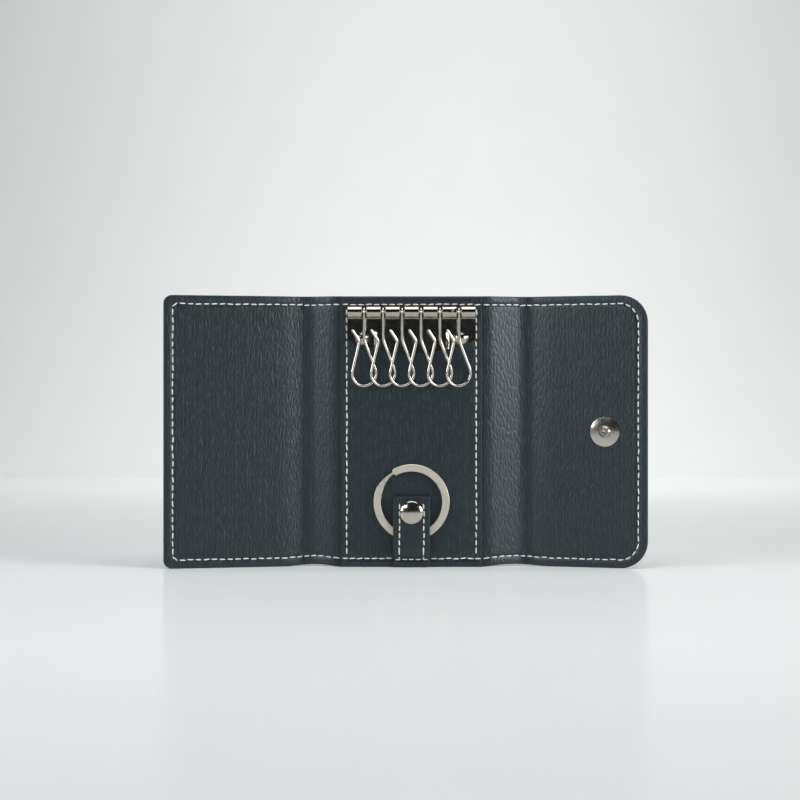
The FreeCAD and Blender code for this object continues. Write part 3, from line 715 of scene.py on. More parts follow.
def thin_out(coarse: Sequence[float], fine: Sequence[float], ends: tuple[float, float],
             least: float = 0.14 * MM) -> list[float]:
    """Puts two sets of cuts together, without those that would leave slivers.

    Args:
        coarse: Cuts that give way, and stay five times as far from others.
        fine: Cuts that stay.
        ends: The ends of the leather, which no cut comes close to.
        least: How close two cuts may be.

    Returns:
        The cuts in order.
    """
    low, high = min(ends) + least, max(ends) - least
    kept: list[float] = []
    for place in [*sorted(fine), *coarse]:
        room = 5 * least if place in coarse else least
        if low < place < high and all(abs(place - other) >= room for other in kept):
            kept.append(place)
    return sorted(kept)


def hand_of(across: float, up: float) -> float:
    """Gives the slight hollows and swells of a hide that has been handled, as depth."""
    swells = ((23 * MM, 34 * MM, 3.7, 0.10 * MM), (7 * MM, 12 * MM, 8.1, 0.035 * MM))
    return sum(deep * noise.noise(Vector((across / wide, up / tall, layer)))
               for wide, tall, layer, deep in swells)


@dataclass(frozen=True)
class SeamLine:
    """A line of stitching as a rounded box on the flat leather, which the leather dips along.

    Attributes:
        low: Lowest across and up.
        high: Highest across and up.
        radius: Radius of the line's corners.
        width: Half width of the dip.
        depth: How deep the leather is drawn in.
        steps: How far apart the leather is cut over the dip, and along the line's corners.
    """

    low: tuple[float, float]
    high: tuple[float, float]
    radius: float
    width: float = 1.0 * MM
    depth: float = 0.24 * MM
    steps: tuple[float, float] = (0.33 * MM, 0.7 * MM)

    def dip(self, across: float, up: float) -> float:
        """Gives how far into the dip a point of the flat leather lies.

        Args:
            across: Its place across.
            up: Its height.

        Returns:
            1 on the line, falling to 0 at the dip's width.
        """
        past = [abs(place - (a + b) / 2) - (b - a) / 2 + self.radius
                for place, a, b in zip((across, up), self.low, self.high)]
        beyond = math.hypot(max(past[0], 0.0), max(past[1], 0.0)) + min(max(past), 0.0) - self.radius
        return 1 - ease(abs(beyond) / self.width)

    def cuts(self, axis: int) -> list[float]:
        """Gives where leather is cut for the dip to show in its mesh.

        Args:
            axis: 0 for places across, 1 for heights.

        Returns:
            Places close together at both ends of the box, less close along its corners.
        """
        places = []
        for end, inward in ((self.low[axis], 1), (self.high[axis], -1)):
            outer, inner = end - inward * self.width, end + inward * self.width
            places += [outer, *even(outer, inner, self.steps[0]), inner]
            if self.radius > self.width:
                places += even(inner, inner + inward * self.radius, self.steps[1])
        return places


@dataclass
class LeatherSheet:
    """One cut sheet of leather with rounded rims.

    Attributes:
        name: The piece's name.
        near: Where it starts across.
        far: Where it ends across.
        top: How high it reaches.
        back: Depth of its back.
        front: Gives the depth of its face at a place across.
        seam: The line of stitching that it dips along.
        shown: The face that dips.
        corner: Radius of its two rounded corners.
        rounded: The end with the rounded corners.
        open_ends: The places across where it runs on into the next sheet.
        recess: The room for a board in its back, as (low across, high across, low up, high up, depth).
        folds: Stretches across that bend, as pairs of ends.
        bends: Stretches of its height that bend, as pairs of ends.
        rim: Radius of its rims.
        steps: How far apart it is cut across and up.
        bend_steps: How far apart it is cut across a fold and up a bend.
        segments: Segments round a corner and over a rim.
    """

    name: str
    near: float
    far: float
    top: float
    back: float
    front: Callable[[float], float]
    seam: SeamLine
    shown: Face = Face.INSIDE
    corner: float = 0.0
    rounded: RoundEnd = RoundEnd.FAR
    open_ends: tuple[float, ...] = ()
    recess: tuple[float, float, float, float, float] | None = None
    folds: tuple[tuple[float, float], ...] = ()
    bends: tuple[tuple[float, float], ...] = ()
    rim: float = 0.32 * MM
    steps: tuple[float, float] = (2.6 * MM, 3.0 * MM)
    bend_steps: tuple[float, float] = (0.6 * MM, 0.35 * MM)
    segments: tuple[int, int] = (14, 3)

    def blank(self) -> BMesh:
        """Cuts the sheet's outline and gives it thickness and rounded rims.

        Returns:
            The flat sheet, one unit of depth thick from 0 at its back to 1 at its face.
        """
        shape = bmesh.new()
        stand = Matrix.Translation(((self.near + self.far) / 2, 0, self.top / 2))
        stand = stand @ Matrix.Rotation(QUARTER_TURN, 4, "X")
        stand = stand @ Matrix.Diagonal((abs(self.far - self.near), self.top, 1, 1))
        bmesh.ops.create_grid(shape, x_segments=1, y_segments=1, size=0.5, matrix=stand)
        if self.corner:
            reach = self.far if self.rounded is RoundEnd.FAR else self.top
            ends = [vert for vert in shape.verts if abs(vert.co[self.rounded.value] - reach) < NEAR]
            bmesh.ops.bevel(shape, geom=ends, offset=self.corner, offset_type="OFFSET", affect="VERTICES",
                            segments=self.segments[0], profile=0.5, material=-1)
        raised = bmesh.ops.extrude_face_region(shape, geom=shape.faces[:])
        thick = self.front(self.far) - self.back
        bmesh.ops.translate(shape, verts=new_verts(raised), vec=(0, -thick, 0))
        bmesh.ops.recalc_face_normals(shape, faces=shape.faces[:])
        rims = [edge for edge in shape.edges
                if abs(edge.verts[0].co.y - edge.verts[1].co.y) < NEAR and not self.on_open_end(edge)]
        bmesh.ops.bevel(shape, geom=rims, offset=self.rim, offset_type="OFFSET", affect="EDGES",
                        segments=self.segments[1], profile=0.5, material=-1, clamp_overlap=True)
        for vert in shape.verts:
            vert.co.y /= thick
        return shape

    def on_open_end(self, edge: BMEdge) -> bool:
        """Tells whether an edge lies where the sheet runs on into the next one."""
        return any(all(abs(vert.co.x - place) < NEAR for vert in edge.verts) for place in self.open_ends)

    def cuts(self, axis: int) -> list[float]:
        """Gives where the sheet is cut so that it can bend, dip and sink.

        Args:
            axis: 0 for places across, 1 for heights.

        Returns:
            The places.
        """
        ends = ((self.near, self.far), (0.0, self.top))[axis]
        fine = [place for start, end in (self.folds, self.bends)[axis]
                for place in (start, *even(start, end, self.bend_steps[axis]), end)]
        if self.recess:
            fine += self.recess[2 * axis:2 * axis + 2]
        return thin_out(even(*ends, self.steps[axis]), fine + self.seam.cuts(axis), ends)

    def hollow(self, shape: BMesh) -> None:
        """Sinks the room for the board into the sheet's back.

        Args:
            shape: The flat sheet, already cut along the recess.
        """
        low, high, foot, head, _ = self.recess
        inside = [face for face in shape.faces if face.normal.y > FACING
                  and low < face.calc_center_median().x < high and foot < face.calc_center_median().z < head]
        for vert in new_verts(bmesh.ops.extrude_face_region(shape, geom=inside)):
            vert.co.y = -SUNK
        bmesh.ops.delete(shape, geom=inside, context="FACES_ONLY")

    def build(self, place: Bend, face: Material, rim: Material) -> Object:
        """Makes the sheet, lays out its grain and bends it into place.

        Args:
            place: Takes a point of the flat leather to the frame.
            face: The leather.
            rim: The finish of its cut edges.

        Returns:
            The piece.
        """
        shape = self.blank()
        cut(shape, self.cuts(0), 0)
        cut(shape, self.cuts(1), 2)
        if self.recess:
            self.hollow(shape)
        shape.normal_update()
        layout = shape.loops.layers.uv.new(FLAT_UV)
        for item in shape.faces:
            item.material_index = 0 if abs(item.normal.y) > FACING else 1
            for loop in item.loops:
                loop[layout].uv = (loop.vert.co.x, loop.vert.co.z)
        dips = shape.verts.layers.float.new(SEAM)
        for vert in shape.verts:
            across, share, up = vert.co.x, -vert.co.y, vert.co.z
            sunk = share > (1 + SUNK) / 2
            thick = self.recess[4] if sunk else (self.front(across) - self.back) * share
            deep = self.back + thick + hand_of(across, up)
            if (share > 0.5) == (self.shown is Face.INSIDE) and not sunk:
                vert[dips] = self.seam.dip(across, up)
                deep -= self.shown.value * self.seam.depth * vert[dips]
            vert.co = place(Vector((across, -deep, up)))
        return finish_mesh(self.name, shape, (face, rim))


# Stitching


def rounded_line(points: Sequence[Vector], radius: float, chords: int = 8) -> list[Vector]:
    """Rounds the square corners of a line of points.

    Args:
        points: The corners and ends, as (across, 0, up).
        radius: The radius of the corners.
        chords: How many chords a corner has.

    Returns:
        The line with each corner as a run of short chords.
    """
    line = [points[0]]
    for before, corner, after in zip(points, points[1:], points[2:]):
        arrive, leave = (corner - before).normalized(), (after - corner).normalized()
        start, center = corner - arrive * radius, corner - arrive * radius + leave * radius
        turn = arrive.cross(leave).normalized()
        for number in range(chords + 1):
            spin = Matrix.Rotation(QUARTER_TURN * number / chords, 3, turn)
            line.append(center + spin @ (start - center))
    line.append(points[-1])
    return line


def walk(line: Sequence[Vector], pitch: float) -> list[tuple[Vector, Vector]]:
    """Steps along a line, a whole number of times.

    Args:
        line: The line's points.
        pitch: About how far apart the steps are.

    Returns:
        The middle of each step and the direction there.
    """
    lengths = [(b - a).length for a, b in zip(line, line[1:])]
    count = max(int(round(sum(lengths) / pitch)), 1)
    step, steps = sum(lengths) / count, []
    for number in range(count):
        along = (number + 0.5) * step
        for a, b, length in zip(line, line[1:], lengths):
            if along <= length or b is line[-1]:
                steps.append((a + (b - a) * (along / max(length, NEAR)), (b - a).normalized()))
                break
            along -= length
    return steps


@dataclass
class StitchRow:
    """A row of lock stitches, each a fat grain of thread that dives into the leather at both ends.

    Attributes:
        line: The row's line as (across, 0, up).
        seat: Gives the depth of the leather's face at a place on it.
        face: Which face the row shows on.
        pitch: From one stitch to the next.
        length: Length of a stitch that shows.
        thread: Thickness of the thread.
        flat: How high the thread stands, as a share of its thickness.
        sink: How far it is drawn into the leather.
        lean: How far the stitches lean, in degrees.
        sway: How far one stitch leans more or less than another, in degrees.
        stray: How far a stitch may lie beside the line.
        sizes: The range of the stitches' lengths, as shares.
        lift: How much deeper or higher a stitch may lie.
        segments: Segments round a stitch and along it.
    """

    line: list[Vector]
    seat: Callable[[Vector], float]
    face: Face = Face.INSIDE
    pitch: float = 3.15 * MM
    length: float = 2.55 * MM
    thread: float = 0.56 * MM
    flat: float = 0.8
    sink: float = 0.03 * MM
    lean: float = 1.5
    sway: float = 5.0
    stray: float = 0.12 * MM
    sizes: tuple[float, float] = (0.92, 1.06)
    lift: float = 0.03 * MM
    segments: tuple[int, int] = (8, 7)

    def sew(self, shape: BMesh, chance: random.Random, wanted: Callable[[float], bool]) -> None:
        """Adds the row's stitches to a bmesh on the flat leather.

        Args:
            shape: The bmesh, with a layer for the thread's layout.
            chance: The source of the slight unevenness.
            wanted: Tells whether a stitch at a place across belongs to this bmesh.
        """
        for middle, way in walk(self.line, self.pitch):
            tilt = chance.uniform(-self.sway, self.sway) + self.lean
            stray = chance.uniform(-self.stray, self.stray)
            size, lift = chance.uniform(*self.sizes), chance.uniform(-self.lift, self.lift)
            if not wanted(middle.x):
                continue
            spot = middle + Vector((-way.z, 0, way.x)) * stray
            spot.y = -(self.seat(middle) + self.face.value * (lift - self.sink))
            turn = Matrix.Rotation(-math.atan2(way.z, way.x) - math.radians(tilt), 4, "Y")
            grain = Matrix.Diagonal((self.length * size / self.thread, self.flat, 1, 1))
            lying = Matrix.Translation(spot) @ turn @ grain @ Matrix.Rotation(QUARTER_TURN, 4, "Y")
            bmesh.ops.create_uvsphere(shape, u_segments=self.segments[0], v_segments=self.segments[1],
                                      radius=self.thread / 2, matrix=lying, calc_uvs=True)


def sewn_piece(name: str, rows: Sequence[StitchRow], place: Bend, thread: Material, seed: int,
               wanted: Callable[[float], bool] = lambda across: True) -> Object:
    """Makes one piece of the stitches that some rows have on one stretch of leather.

    Args:
        name: The piece's name.
        rows: The rows.
        place: Takes a point of the flat leather to the frame.
        thread: The thread.
        seed: Seed of the slight unevenness.
        wanted: Tells whether a stitch at a place across belongs to the piece.

    Returns:
        The piece.
    """
    shape = bmesh.new()
    shape.loops.layers.uv.new(FLAT_UV)
    chance = random.Random(seed)
    for row in rows:
        row.sew(shape, chance, wanted)
    for vert in shape.verts:
        across, low, up = vert.co
        vert.co = place(Vector((across, low - hand_of(across, up), up)))
    return finish_mesh(name, shape, (thread,), sharp=180.0)


# Sub-assemblies


@dataclass
class Leatherwork:
    """The outer cover, the linings of spines and flaps, and the raised centre panel, with their stitching."""

    section: CaseSection = field(default_factory=CaseSection)
    seam_inset: float = 3.4 * MM
    least_seam_radius: float = 2.3 * MM
    lining_seam_start: float = 0.1 * MM
    board_margin: float = 5.0 * MM
    flap_board: float = 0.6 * MM
    panel_seam_inset: float = 2.3 * MM
    panel_seam_radius: float = 0.6 * MM
    panel_seam_gap: float = 1.5 * MM
    panel_seam_start: float = 0.2 * MM
    panel_top_drop: float = 0.5 * MM
    panel_board_margin: float = 3.6 * MM
    panel_board: float = 1.0 * MM
    panel_rim: float = 0.4 * MM
    strap_half: float = 7.5 * MM

    def seam_radius(self, side: Side) -> float:
        """Gives the radius of the stitching at a flap's corners."""
        return max(self.section.corner_radii[side.number] - self.seam_inset, self.least_seam_radius)

    def edge_seam(self, side: Side) -> SeamLine:
        """Gives the dip along a flap's edges, which runs on past the middle of the case."""
        reach, top = self.section.stations(side)[4] - self.seam_inset, self.section.height - self.seam_inset
        return SeamLine((-reach, self.seam_inset), (reach, top), self.seam_radius(side))

    def edge_line(self, side: Side, start: float) -> list[Vector]:
        """Gives the line of stitching round a flap, from a place across and back to it.

        Args:
            side: Which side.
            start: Where it starts and ends across, without sign.

        Returns:
            The line.
        """
        low, high = self.seam_inset, self.section.height - self.seam_inset
        far, near = (self.section.stations(side)[4] - self.seam_inset) * side.value, start * side.value
        corners = ((near, high), (far, high), (far, low), (near, low))
        return rounded_line([Vector((across, 0, up)) for across, up in corners], self.seam_radius(side))

    def build_side(self, side: Side, leather: Material, rim: Material, thread: Material) -> None:
        """Builds one side: cover and lining of spine and flap, in two sheets each that meet at mid-spine.

        Args:
            side: Which side.
            leather: The leather.
            rim: The finish of cut edges.
            thread: The thread.
        """
        section, sign, word = self.section, side.value, side.word
        ends = [end * sign for end in section.stations(side)]
        middle, back, margin = section.mid_spine(side) * sign, section.cover_half, self.board_margin
        board_start = ends[4] - (section.flap_lengths[side.number] - section.fold_reach - margin) * sign
        recess = (*sorted((board_start, ends[4] - margin * sign)), margin, section.height - margin,
                  self.flap_board)
        seam = self.edge_seam(side)
        stands_for = {
            f"{word}_cover_spine_leather": ["cover_center", f"{word}_inner_fold"],
            f"{word}_cover_flap_leather": [f"cover_{word}", f"cover_{word}_spine", f"{word}_outer_fold"],
            f"{word}_lining_spine_leather": [f"lining_{word}_spine"],
            f"{word}_lining_flap_leather": [f"{word}_lining"],
        }

        def lining_face(across: float) -> float:
            """Gives the depth of the lining's face at a place across."""
            return section.lining_front(abs(across), side)

        made = []
        for layer, start, behind, face, shown, room in (
                ("cover", 0.0, -back, lambda across: back, Face.OUTSIDE, None),
                ("lining", ends[0], back, lining_face, Face.INSIDE, recess)):
            spine = LeatherSheet(f"{word}_{layer}_spine_leather", start, middle, section.height, behind, face,
                                 seam, shown, open_ends=(start, middle), folds=((ends[0], ends[1]),))
            flap = LeatherSheet(f"{word}_{layer}_flap_leather", middle, ends[4], section.height, behind, face,
                                seam, shown, section.corner_radii[side.number], open_ends=(middle,),
                                recess=room, folds=((ends[2], ends[3]),))
            for sheet, part in ((spine, Part.SPINE), (flap, Part.FLAP)):
                piece = sheet.build(section.place, leather, rim)
                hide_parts(*stands_for[sheet.name])
                "lining_leather" if "lining" in sheet.name else "cover_leather"
                made.append((piece, part))
        inside = StitchRow(self.edge_line(side, abs(ends[0]) + self.lining_seam_start),
                           lambda spot: lining_face(spot.x))
        outside = StitchRow(self.edge_line(side, 0.0), lambda spot: -back, Face.OUTSIDE)
        for row, row_word in ((inside, "inner"), (outside, "outer")):
            for part in Part:
                name = f"{word}_{row_word}_{part.name.lower()}_stitches"
                piece = sewn_piece(name, [row], section.place, thread, seed=7,
                                   wanted=lambda across: (abs(across) > abs(middle)) == (part is Part.FLAP))
                made.append((piece, part))
        for piece, part in made:
            self.hinge(piece, side, part)

    def hinge(self, piece: Object, side: Side, part: Part) -> None:
        """Bakes a piece's place into its mesh and logs the fold that it crosses.

        Args:
            piece: The piece.
            side: Which side it is on.
            part: The part that the fold leads to.
        """
        chain = ["center", f"{side.word}_spine", f"{side.word}_flap"]
        first, second = chain[:2] if part is Part.SPINE else chain[1:]
        places = self.section.stations(side)[part.value - 1:part.value + 1]
        points = [self.section.place(Vector((place * side.value, 0, 0))) for place in places]
        for point in points:
            point.z = 0.0
        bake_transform(piece)
        LOG.info("%s bends between %s and %s", piece.name, first, second)

    def build_panel(self, leather: Material, rim: Material, thread: Material) -> None:
        """Builds the raised centre panel with its rows of stitches.

        Args:
            leather: The leather.
            rim: The finish of its cut edges.
            thread: The thread.
        """
        section, half = self.section, self.section.panel_half
        top, margin = section.height - self.panel_top_drop, self.panel_board_margin
        side_seam, end = half - self.panel_seam_inset, half - self.panel_seam_start
        low, high = self.seam_inset, section.height - self.seam_inset
        sheet = LeatherSheet("center_panel_leather", -half, half, top, section.cover_half,
                             lambda across: section.panel_front,
                             SeamLine((-side_seam, low), (side_seam, high), self.panel_seam_radius),
                             recess=(-half + margin, half - margin, margin, top - margin, self.panel_board),
                             rim=self.panel_rim)
        piece = sheet.build(section.place, leather, rim)
        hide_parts("center_panel")
        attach(piece, "center")
        foot, head = low + self.panel_seam_gap, high - self.panel_seam_gap
        runs = (((-side_seam, foot), (-side_seam, head)), ((side_seam, foot), (side_seam, head)),
                ((-end, high), (end, high)), ((-end, low), (-self.strap_half, low)),
                ((self.strap_half, low), (end, low)))
        rows = [StitchRow([Vector((across, 0, up)) for across, up in run], lambda spot: section.panel_front)
                for run in runs]
        stitches = sewn_piece("center_panel_stitches", rows, section.place, thread, seed=11)
        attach(stitches, "center")
        LOG.info("%s and %s ride on center", piece.name, stitches.name)

    def build(self) -> None:
        """Builds all the leather of the case."""
        leather, rim = GrainedLeather("grained cow leather").material(), EdgePaint().material()
        thread = TwistedThread().material()
        for side in Side:
            self.build_side(side, leather, rim, thread)
        self.build_panel(leather, rim, thread)


@dataclass
class RingStrap:
    """The strap over the split ring: sewn down at its foot, bent out over the ring, straight to its tab.

    Pairs of sizes are a depth and a height, but the hinge's are the heights between which the strap bends,
    and are not used.
    The gaps are what the rows of stitches leave free above the foot's seam, below the top and at the sides.
    """

    width: float = 14.6 * MM
    thickness: float = 1.8 * MM
    foot: tuple[float, float] = (2.8 * MM, 0.3 * MM)
    seam_height: float = 4.2 * MM
    bend: tuple[float, float] = (5.3 * MM, 6.4 * MM)
    bend_radius: float = 1.9 * MM
    hinge: tuple[float, float] = (4.6 * MM, 8.4 * MM)
    top: float = 28.4 * MM
    corner: float = 0.9 * MM
    rim: float = 0.42 * MM
    seam_offset: float = 4.85 * MM
    seam_radius: float = 0.2 * MM
    foot_seam_drop: float = 1.1 * MM
    seam_gaps: tuple[float, float, float] = (0.6 * MM, 2.6 * MM, 0.5 * MM)
    pitch: float = 2.9 * MM
    stitch: float = 2.3 * MM

    def ribbon(self) -> Ribbon:
        """Gives the line of the strap's back, from its foot upwards.

        Returns:
            The line, whose second coordinate is towards the panel.
        """
        out, up = self.bend[0] - self.foot[0], self.bend[1] - self.seam_height
        slope = math.atan2(out, up)
        trim = self.bend_radius * math.tan(slope / 2)
        arc, ramp = Stretch(self.bend_radius * slope, -slope), Stretch(math.hypot(out, up) - 2 * trim)
        return Ribbon((Stretch(self.seam_height - self.foot[1] - trim), arc, ramp,
                       Stretch(arc.length, slope), Stretch(self.top - self.bend[1] - trim)))

    def place(self, flat: Vector) -> Vector:
        """Bends a point of the flat strap to its place.

        Args:
            flat: The point as (across, -depth above the strap's back, distance from its foot).

        Returns:
            The point in the frame.
        """
        up, back, heading = self.ribbon().at(flat.z)
        up += math.sin(heading) * -flat.y
        back -= math.cos(heading) * -flat.y
        return Vector((flat.x, back - self.foot[0], up + self.foot[1]))

    def build(self) -> None:
        """Builds the strap and its stitches."""
        ends, half, inset = self.ribbon().ends(), self.width / 2, self.seam_offset
        # Its thin lines are painted only faintly paler, partly pigment and partly painted highlight.
        leather = GrainedLeather("grained strap leather", line_pigment_and_highlight=0.05, relief=0.02 * MM).material()
        edge, thread = EdgePaint("painted strap edge").material(), TwistedThread("strap thread").material()
        low = self.seam_height - self.foot[1] - self.foot_seam_drop
        sheet = LeatherSheet("ring_strap_leather", -half, half, ends[4], 0.0, lambda across: self.thickness,
                             SeamLine((-inset, low), (inset, 2 * ends[4]), self.seam_radius),
                             corner=self.corner, rounded=RoundEnd.TOP, bends=((ends[0], ends[3]),),
                             rim=self.rim)
        piece = sheet.build(self.place, leather, edge)
        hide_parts("ring_strap", "ring_strap_backing", "strap_foot")
        above, below, beside = self.seam_gaps
        lines = [[Vector((across, 0, low + above)), Vector((across, 0, ends[4] - below))]
                 for across in (-inset, inset)]
        lines.append([Vector((-half + beside, 0, low)), Vector((half - beside, 0, low))])
        rows = [StitchRow(line, lambda spot: self.thickness, pitch=self.pitch, length=self.stitch)
                for line in lines]
        stitches = sewn_piece("ring_strap_stitches", rows, self.place, thread, seed=5)
        for item in (piece, stitches):
            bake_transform(item)
            LOG.info("%s bends between center and ring_strap", item.name)


@dataclass(frozen=True)
class SnapCap:
    """A snap's cap of drawn brass: a dome with a rolled edge on a post through the leather, turned as one.

    Attributes:
        node: The frame's node that it stands for.
        body: The body that it rides on.
        across: Where its axis is across the flat leather.
        up: Height of its axis.
        seat: Depth of the leather that it sits on.
        face: The face of the leather that it sits on.
        radius: Its radius.
        dome: How far it stands out.
        rim: How far its edge would stand out without the roll.
        edge: Radius of the rolled edge.
        post_end: Depth at which its post ends.
        post_radius: Radius of its post.
        steps: Points over the dome and over the rolled edge.
        sides: Faces round its axis.
    """

    node: str
    body: str
    across: float
    up: float
    seat: float
    face: Face
    radius: float
    dome: float
    rim: float
    edge: float
    post_end: float
    post_radius: float = 1.1 * MM
    steps: tuple[int, int] = (12, 8)
    sides: int = 72

    def profile(self) -> list[Vector]:
        """Gives half the outline, from the top of the dome round to the end of the post.

        Returns:
            Points as (distance from the axis, -depth, 0).
        """
        crown = self.dome - self.rim
        bow = (self.radius ** 2 + crown ** 2) / (2 * crown)
        middle, inner = self.dome - bow, self.radius - self.edge
        lift = math.sqrt((bow - self.edge) ** 2 - inner ** 2)
        roll = math.atan2(inner, lift)
        over, round_edge = self.steps
        angles = [roll * step / over for step in range(over + 1)]
        line = [(bow * math.sin(angle), middle + bow * math.cos(angle)) for angle in angles]
        angles = [roll + (QUARTER_TURN - roll) * step / round_edge for step in range(1, round_edge + 1)]
        line += [(inner + self.edge * math.sin(angle), middle + lift + self.edge * math.cos(angle))
                 for angle in angles]
        line += [(self.radius, 0.0), (self.post_radius, 0.0)]
        points = [Vector((out, -self.seat - self.face.value * high, 0)) for out, high in line]
        return points + [Vector((out, -self.post_end, 0)) for out in (self.post_radius, 0.0)]

    def build(self, place: Bend, plating: Material) -> None:
        """Turns the cap and sets it into the leather.

        Args:
            place: Takes a point of the flat leather to the frame.
            plating: Its finish.
        """
        shape = bmesh.new()
        verts = [shape.verts.new(point) for point in self.profile()]
        edges = [shape.edges.new(pair) for pair in zip(verts, verts[1:])]
        bmesh.ops.spin(shape, geom=verts + edges, cent=(0, 0, 0), axis=(0, 1, 0), angle=2 * math.pi,
                       steps=self.sides, use_merge=True)
        bmesh.ops.remove_doubles(shape, verts=shape.verts[:], dist=NEAR)
        for vert in shape.verts:
            vert.co = place(vert.co + Vector((self.across, 0, self.up)))
        piece = finish_mesh(f"{self.node}_turned", shape, (plating,))
        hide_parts(self.node)
        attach(piece, self.body)
        LOG.info("%s rides on %s", piece.name, self.body)


@dataclass
class Metalwork:
    """The key plate, hooks, ring, rivets, snaps and boards, all the frame's own pieces but for two caps."""

    section: CaseSection = field(default_factory=CaseSection)
    hooks: int = 6
    stud_inset: float = 16.9 * MM

    def build_caps(self, plating: Material) -> None:
        """Builds the caps of the strap's snap and of the flap's snap.

        Args:
            plating: Their finish.
        """
        stud = self.section.stations(Side.RIGHT)[4] - self.stud_inset
        strap_cap = SnapCap("strap_snap_cap", "ring_strap", 0.0, 22.0 * MM, 7.1 * MM, Face.INSIDE,
                            radius=4.75 * MM, dome=1.9 * MM, rim=0.7 * MM, edge=0.95 * MM, post_end=4.95 * MM)
        flap_cap = SnapCap("flap_snap_cap", "right_flap", stud, self.section.height / 2,
                           -self.section.cover_half, Face.OUTSIDE, radius=6.3 * MM, dome=1.7 * MM,
                           rim=0.5 * MM, edge=0.6 * MM, post_end=2.6 * MM)
        strap_cap.build(lambda point: point, plating)
        flap_cap.build(self.section.place, plating)

    def dress(self) -> None:
        """Gives each piece of the frame its finish."""
        plate = PlatedMetal("bright nickel on stamped steel plate", "#b9b4ac", "#a8a299", 0.09).material()
        wire = PlatedMetal("bright nickel on drawn wire", "#cfcbc4", "#bdb8b0", 0.13, 2.0 * MM).material()
        ring = PlatedMetal("satin nickel on flat spring steel", "#e6e1d6", "#d6d0c3", 0.46,
                           1.6 * MM).material()
        snap = PlatedMetal("bright nickel on drawn brass", "#c4c0b9", "#b3ada4", 0.15).material()
        spring = PlatedMetal("plain spring wire", "#b0a58d", "#968a70", 0.3).material()
        board = FibreBoard().material()
        finishes = {
            plate: ["key_plate", "hook_rod", "left_plate_rivet", "right_plate_rivet"],
            wire: [f"key_hook_{number + 1}" for number in range(self.hooks)],
            ring: ["split_ring"],
            snap: ["left_rivet_washer", "right_rivet_washer", "strap_snap_stud", "strap_snap_post",
                   "strap_snap_socket", "flap_snap_stud", "flap_snap_socket", "flap_socket_post"],
            spring: ["strap_snap_spring", "flap_snap_spring"],
            board: ["center_board", "left_board", "right_board"],
        }
        self.build_caps(snap)
        for material, nodes in finishes.items():
            for name in nodes:
                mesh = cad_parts[name].data
                mesh.materials.clear()
                mesh.materials.append(material)
                LOG.info("%s is %s", name, material.name)


@dataclass(frozen=True)
class SoftBox:
    """A studio light with a rectangular face.

    Attributes:
        name: Its name.
        spot: Where it stands.
        aim: What it points at.
        size: Its width and height.
        power: Its power in watts.
        spread: The full angle that its grid lets light out at, in degrees.
        colour: Its colour.
    """

    name: str
    spot: Spot
    aim: Spot
    size: tuple[float, float]
    power: float
    spread: float = 180.0
    colour: str = "#ffffff"

    def build(self) -> None:
        """Sets the light up."""
        lamp = bpy.data.lights.new(self.name, "AREA")
        lamp.shape, lamp.size, lamp.size_y = "RECTANGLE", *self.size
        lamp.energy, lamp.color, lamp.spread = self.power, linear(self.colour)[:3], math.radians(self.spread)
        holder = bpy.data.objects.new(self.name, lamp)
        holder.location = self.spot
        holder.rotation_euler = (Vector(self.aim) - Vector(self.spot)).to_track_quat("-Z", "Y").to_euler()
        bpy.context.scene.collection.objects.link(holder)


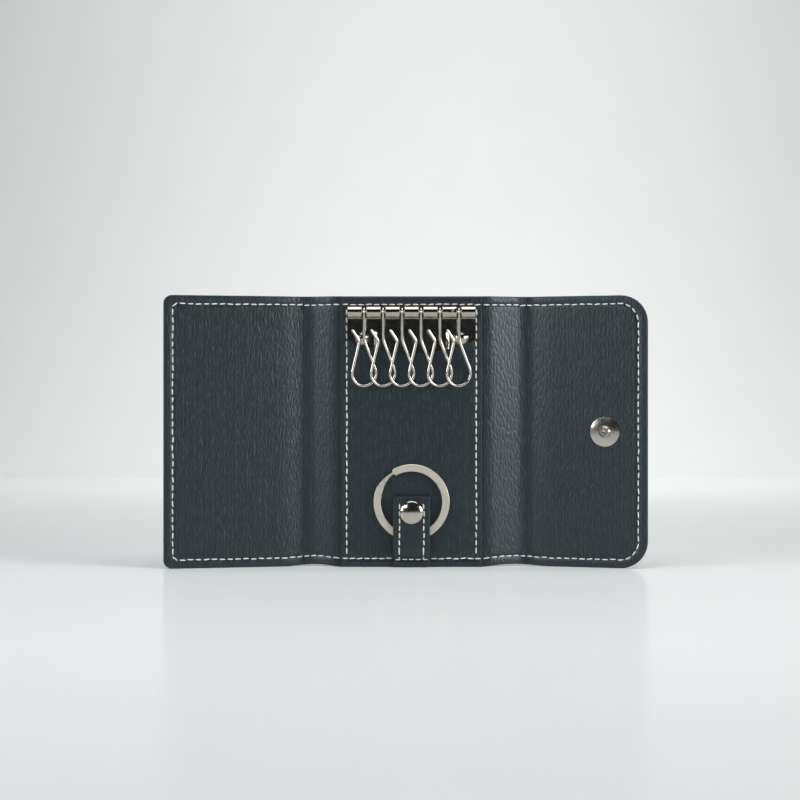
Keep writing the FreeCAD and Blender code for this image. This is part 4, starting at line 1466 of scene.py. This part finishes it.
@dataclass
class Studio:
    """A pale sweep, soft boxes above and to both sides, and a level camera at the photograph's distance."""

    eye: Spot = (-4.6 * MM, -802.8 * MM, 66.8 * MM)
    lens: float = 90.0
    floor_front: float = 3.0
    sweep_depth: float = 0.9
    sweep_radius: float = 0.7
    sweep_steps: int = 24
    wall_height: float = 2.0
    half_width: float = 2.5
    room_light: float = 0.06
    boxes: tuple[SoftBox, ...] = (
        SoftBox("right_soft_box", (0.93, -0.53, 0.31), (0, 0, 0.07), (0.7, 0.38), 2.15, 84.0),
        SoftBox("left_soft_box", (-0.88, -0.56, 0.36), (0, 0, 0.06), (0.6, 0.45), 1.15, 84.0, "#fbfdff"),
        SoftBox("key_soft_box", (-0.47, -0.80, 0.47), (0, 0, 0.06), (0.16, 0.16), 0.7),
        SoftBox("top_soft_box", (0.06, -0.16, 1.0), (0.03, -0.03, 0.0), (0.9, 0.9), 6.8),
        SoftBox("back_wall_light", (0.08, 0.7, 0.75), (0.05, 1.55, 0.15), (0.6, 0.4), 6.1, colour="#fffefc"),
        SoftBox("front_floor_light", (0, -1.96, 1.2), (0, -1.96, 0), (2.6, 2.14), 25.0, 44.0),
    )

    def build_sweep(self) -> None:
        """Builds the floor and the wall behind it as one curved sheet."""
        shape = bmesh.new()
        lay = Matrix.Translation((0, (self.sweep_depth - self.floor_front) / 2, 0))
        lay = lay @ Matrix.Diagonal((2 * self.half_width, self.floor_front + self.sweep_depth, 1, 1))
        bmesh.ops.create_grid(shape, x_segments=1, y_segments=1, size=0.5, matrix=lay)
        rear = self.sweep_depth - NEAR
        back = [edge for edge in shape.edges if all(vert.co.y > rear for vert in edge.verts)]
        bent = bmesh.ops.spin(shape, geom=back, cent=(0, self.sweep_depth, self.sweep_radius), axis=(1, 0, 0),
                              angle=QUARTER_TURN, steps=self.sweep_steps)
        edge = [item for item in bent["geom_last"] if isinstance(item, BMEdge)]
        wall = bmesh.ops.extrude_edge_only(shape, edges=edge)
        bmesh.ops.translate(shape, verts=new_verts(wall), vec=(0, 0, self.wall_height))
        sweep = finish_mesh("studio_sweep", shape, (PaleSweep().material(),))

    def build_light(self) -> None:
        """Builds the soft boxes and the dim room round them, which the camera sees as a pale backdrop."""
        for box in self.boxes:
            box.build()
        world = bpy.data.worlds.new("dim room behind a pale backdrop")
        world.use_nodes = True
        tree = world.node_tree
        tree.nodes.clear()
        room = add_node(tree, "Background", {"Color": linear("#9aa0a4"), "Strength": self.room_light})
        backdrop = add_node(tree, "Background", {"Color": linear("#e4e8e8"), "Strength": 1.0})
        seen = add_node(tree, "LightPath").outputs["Is Camera Ray"]
        both = add_node(tree, "MixShader", {0: seen, 1: room.outputs[0], 2: backdrop.outputs[0]})
        add_node(tree, "OutputWorld", {"Surface": both.outputs[0]})
        bpy.context.scene.world = world
        bpy.context.scene.view_settings.view_transform = "Standard"

    def build_camera(self) -> None:
        """Stands the camera level in front of the case."""
        camera = bpy.data.cameras.new("camera")
        camera.lens, camera.sensor_width = self.lens, 36.0
        camera.clip_start, camera.clip_end = 0.01, 20.0
        holder = bpy.data.objects.new("camera", camera)
        holder.location = self.eye
        holder.rotation_euler = (QUARTER_TURN, 0, 0)
        bpy.context.scene.collection.objects.link(holder)
        bpy.context.scene.camera = holder

    def build(self) -> None:
        """Builds sweep, light and camera."""
        self.build_sweep()
        self.build_light()
        self.build_camera()


def main() -> None:
    """Builds the case's looks and its studio."""
    logging.basicConfig(level=logging.INFO, format="%(name)s: %(message)s")
    Studio().build()
    Leatherwork().build()
    RingStrap().build()
    Metalwork().dress()


if __name__ == "__main__":
    main()
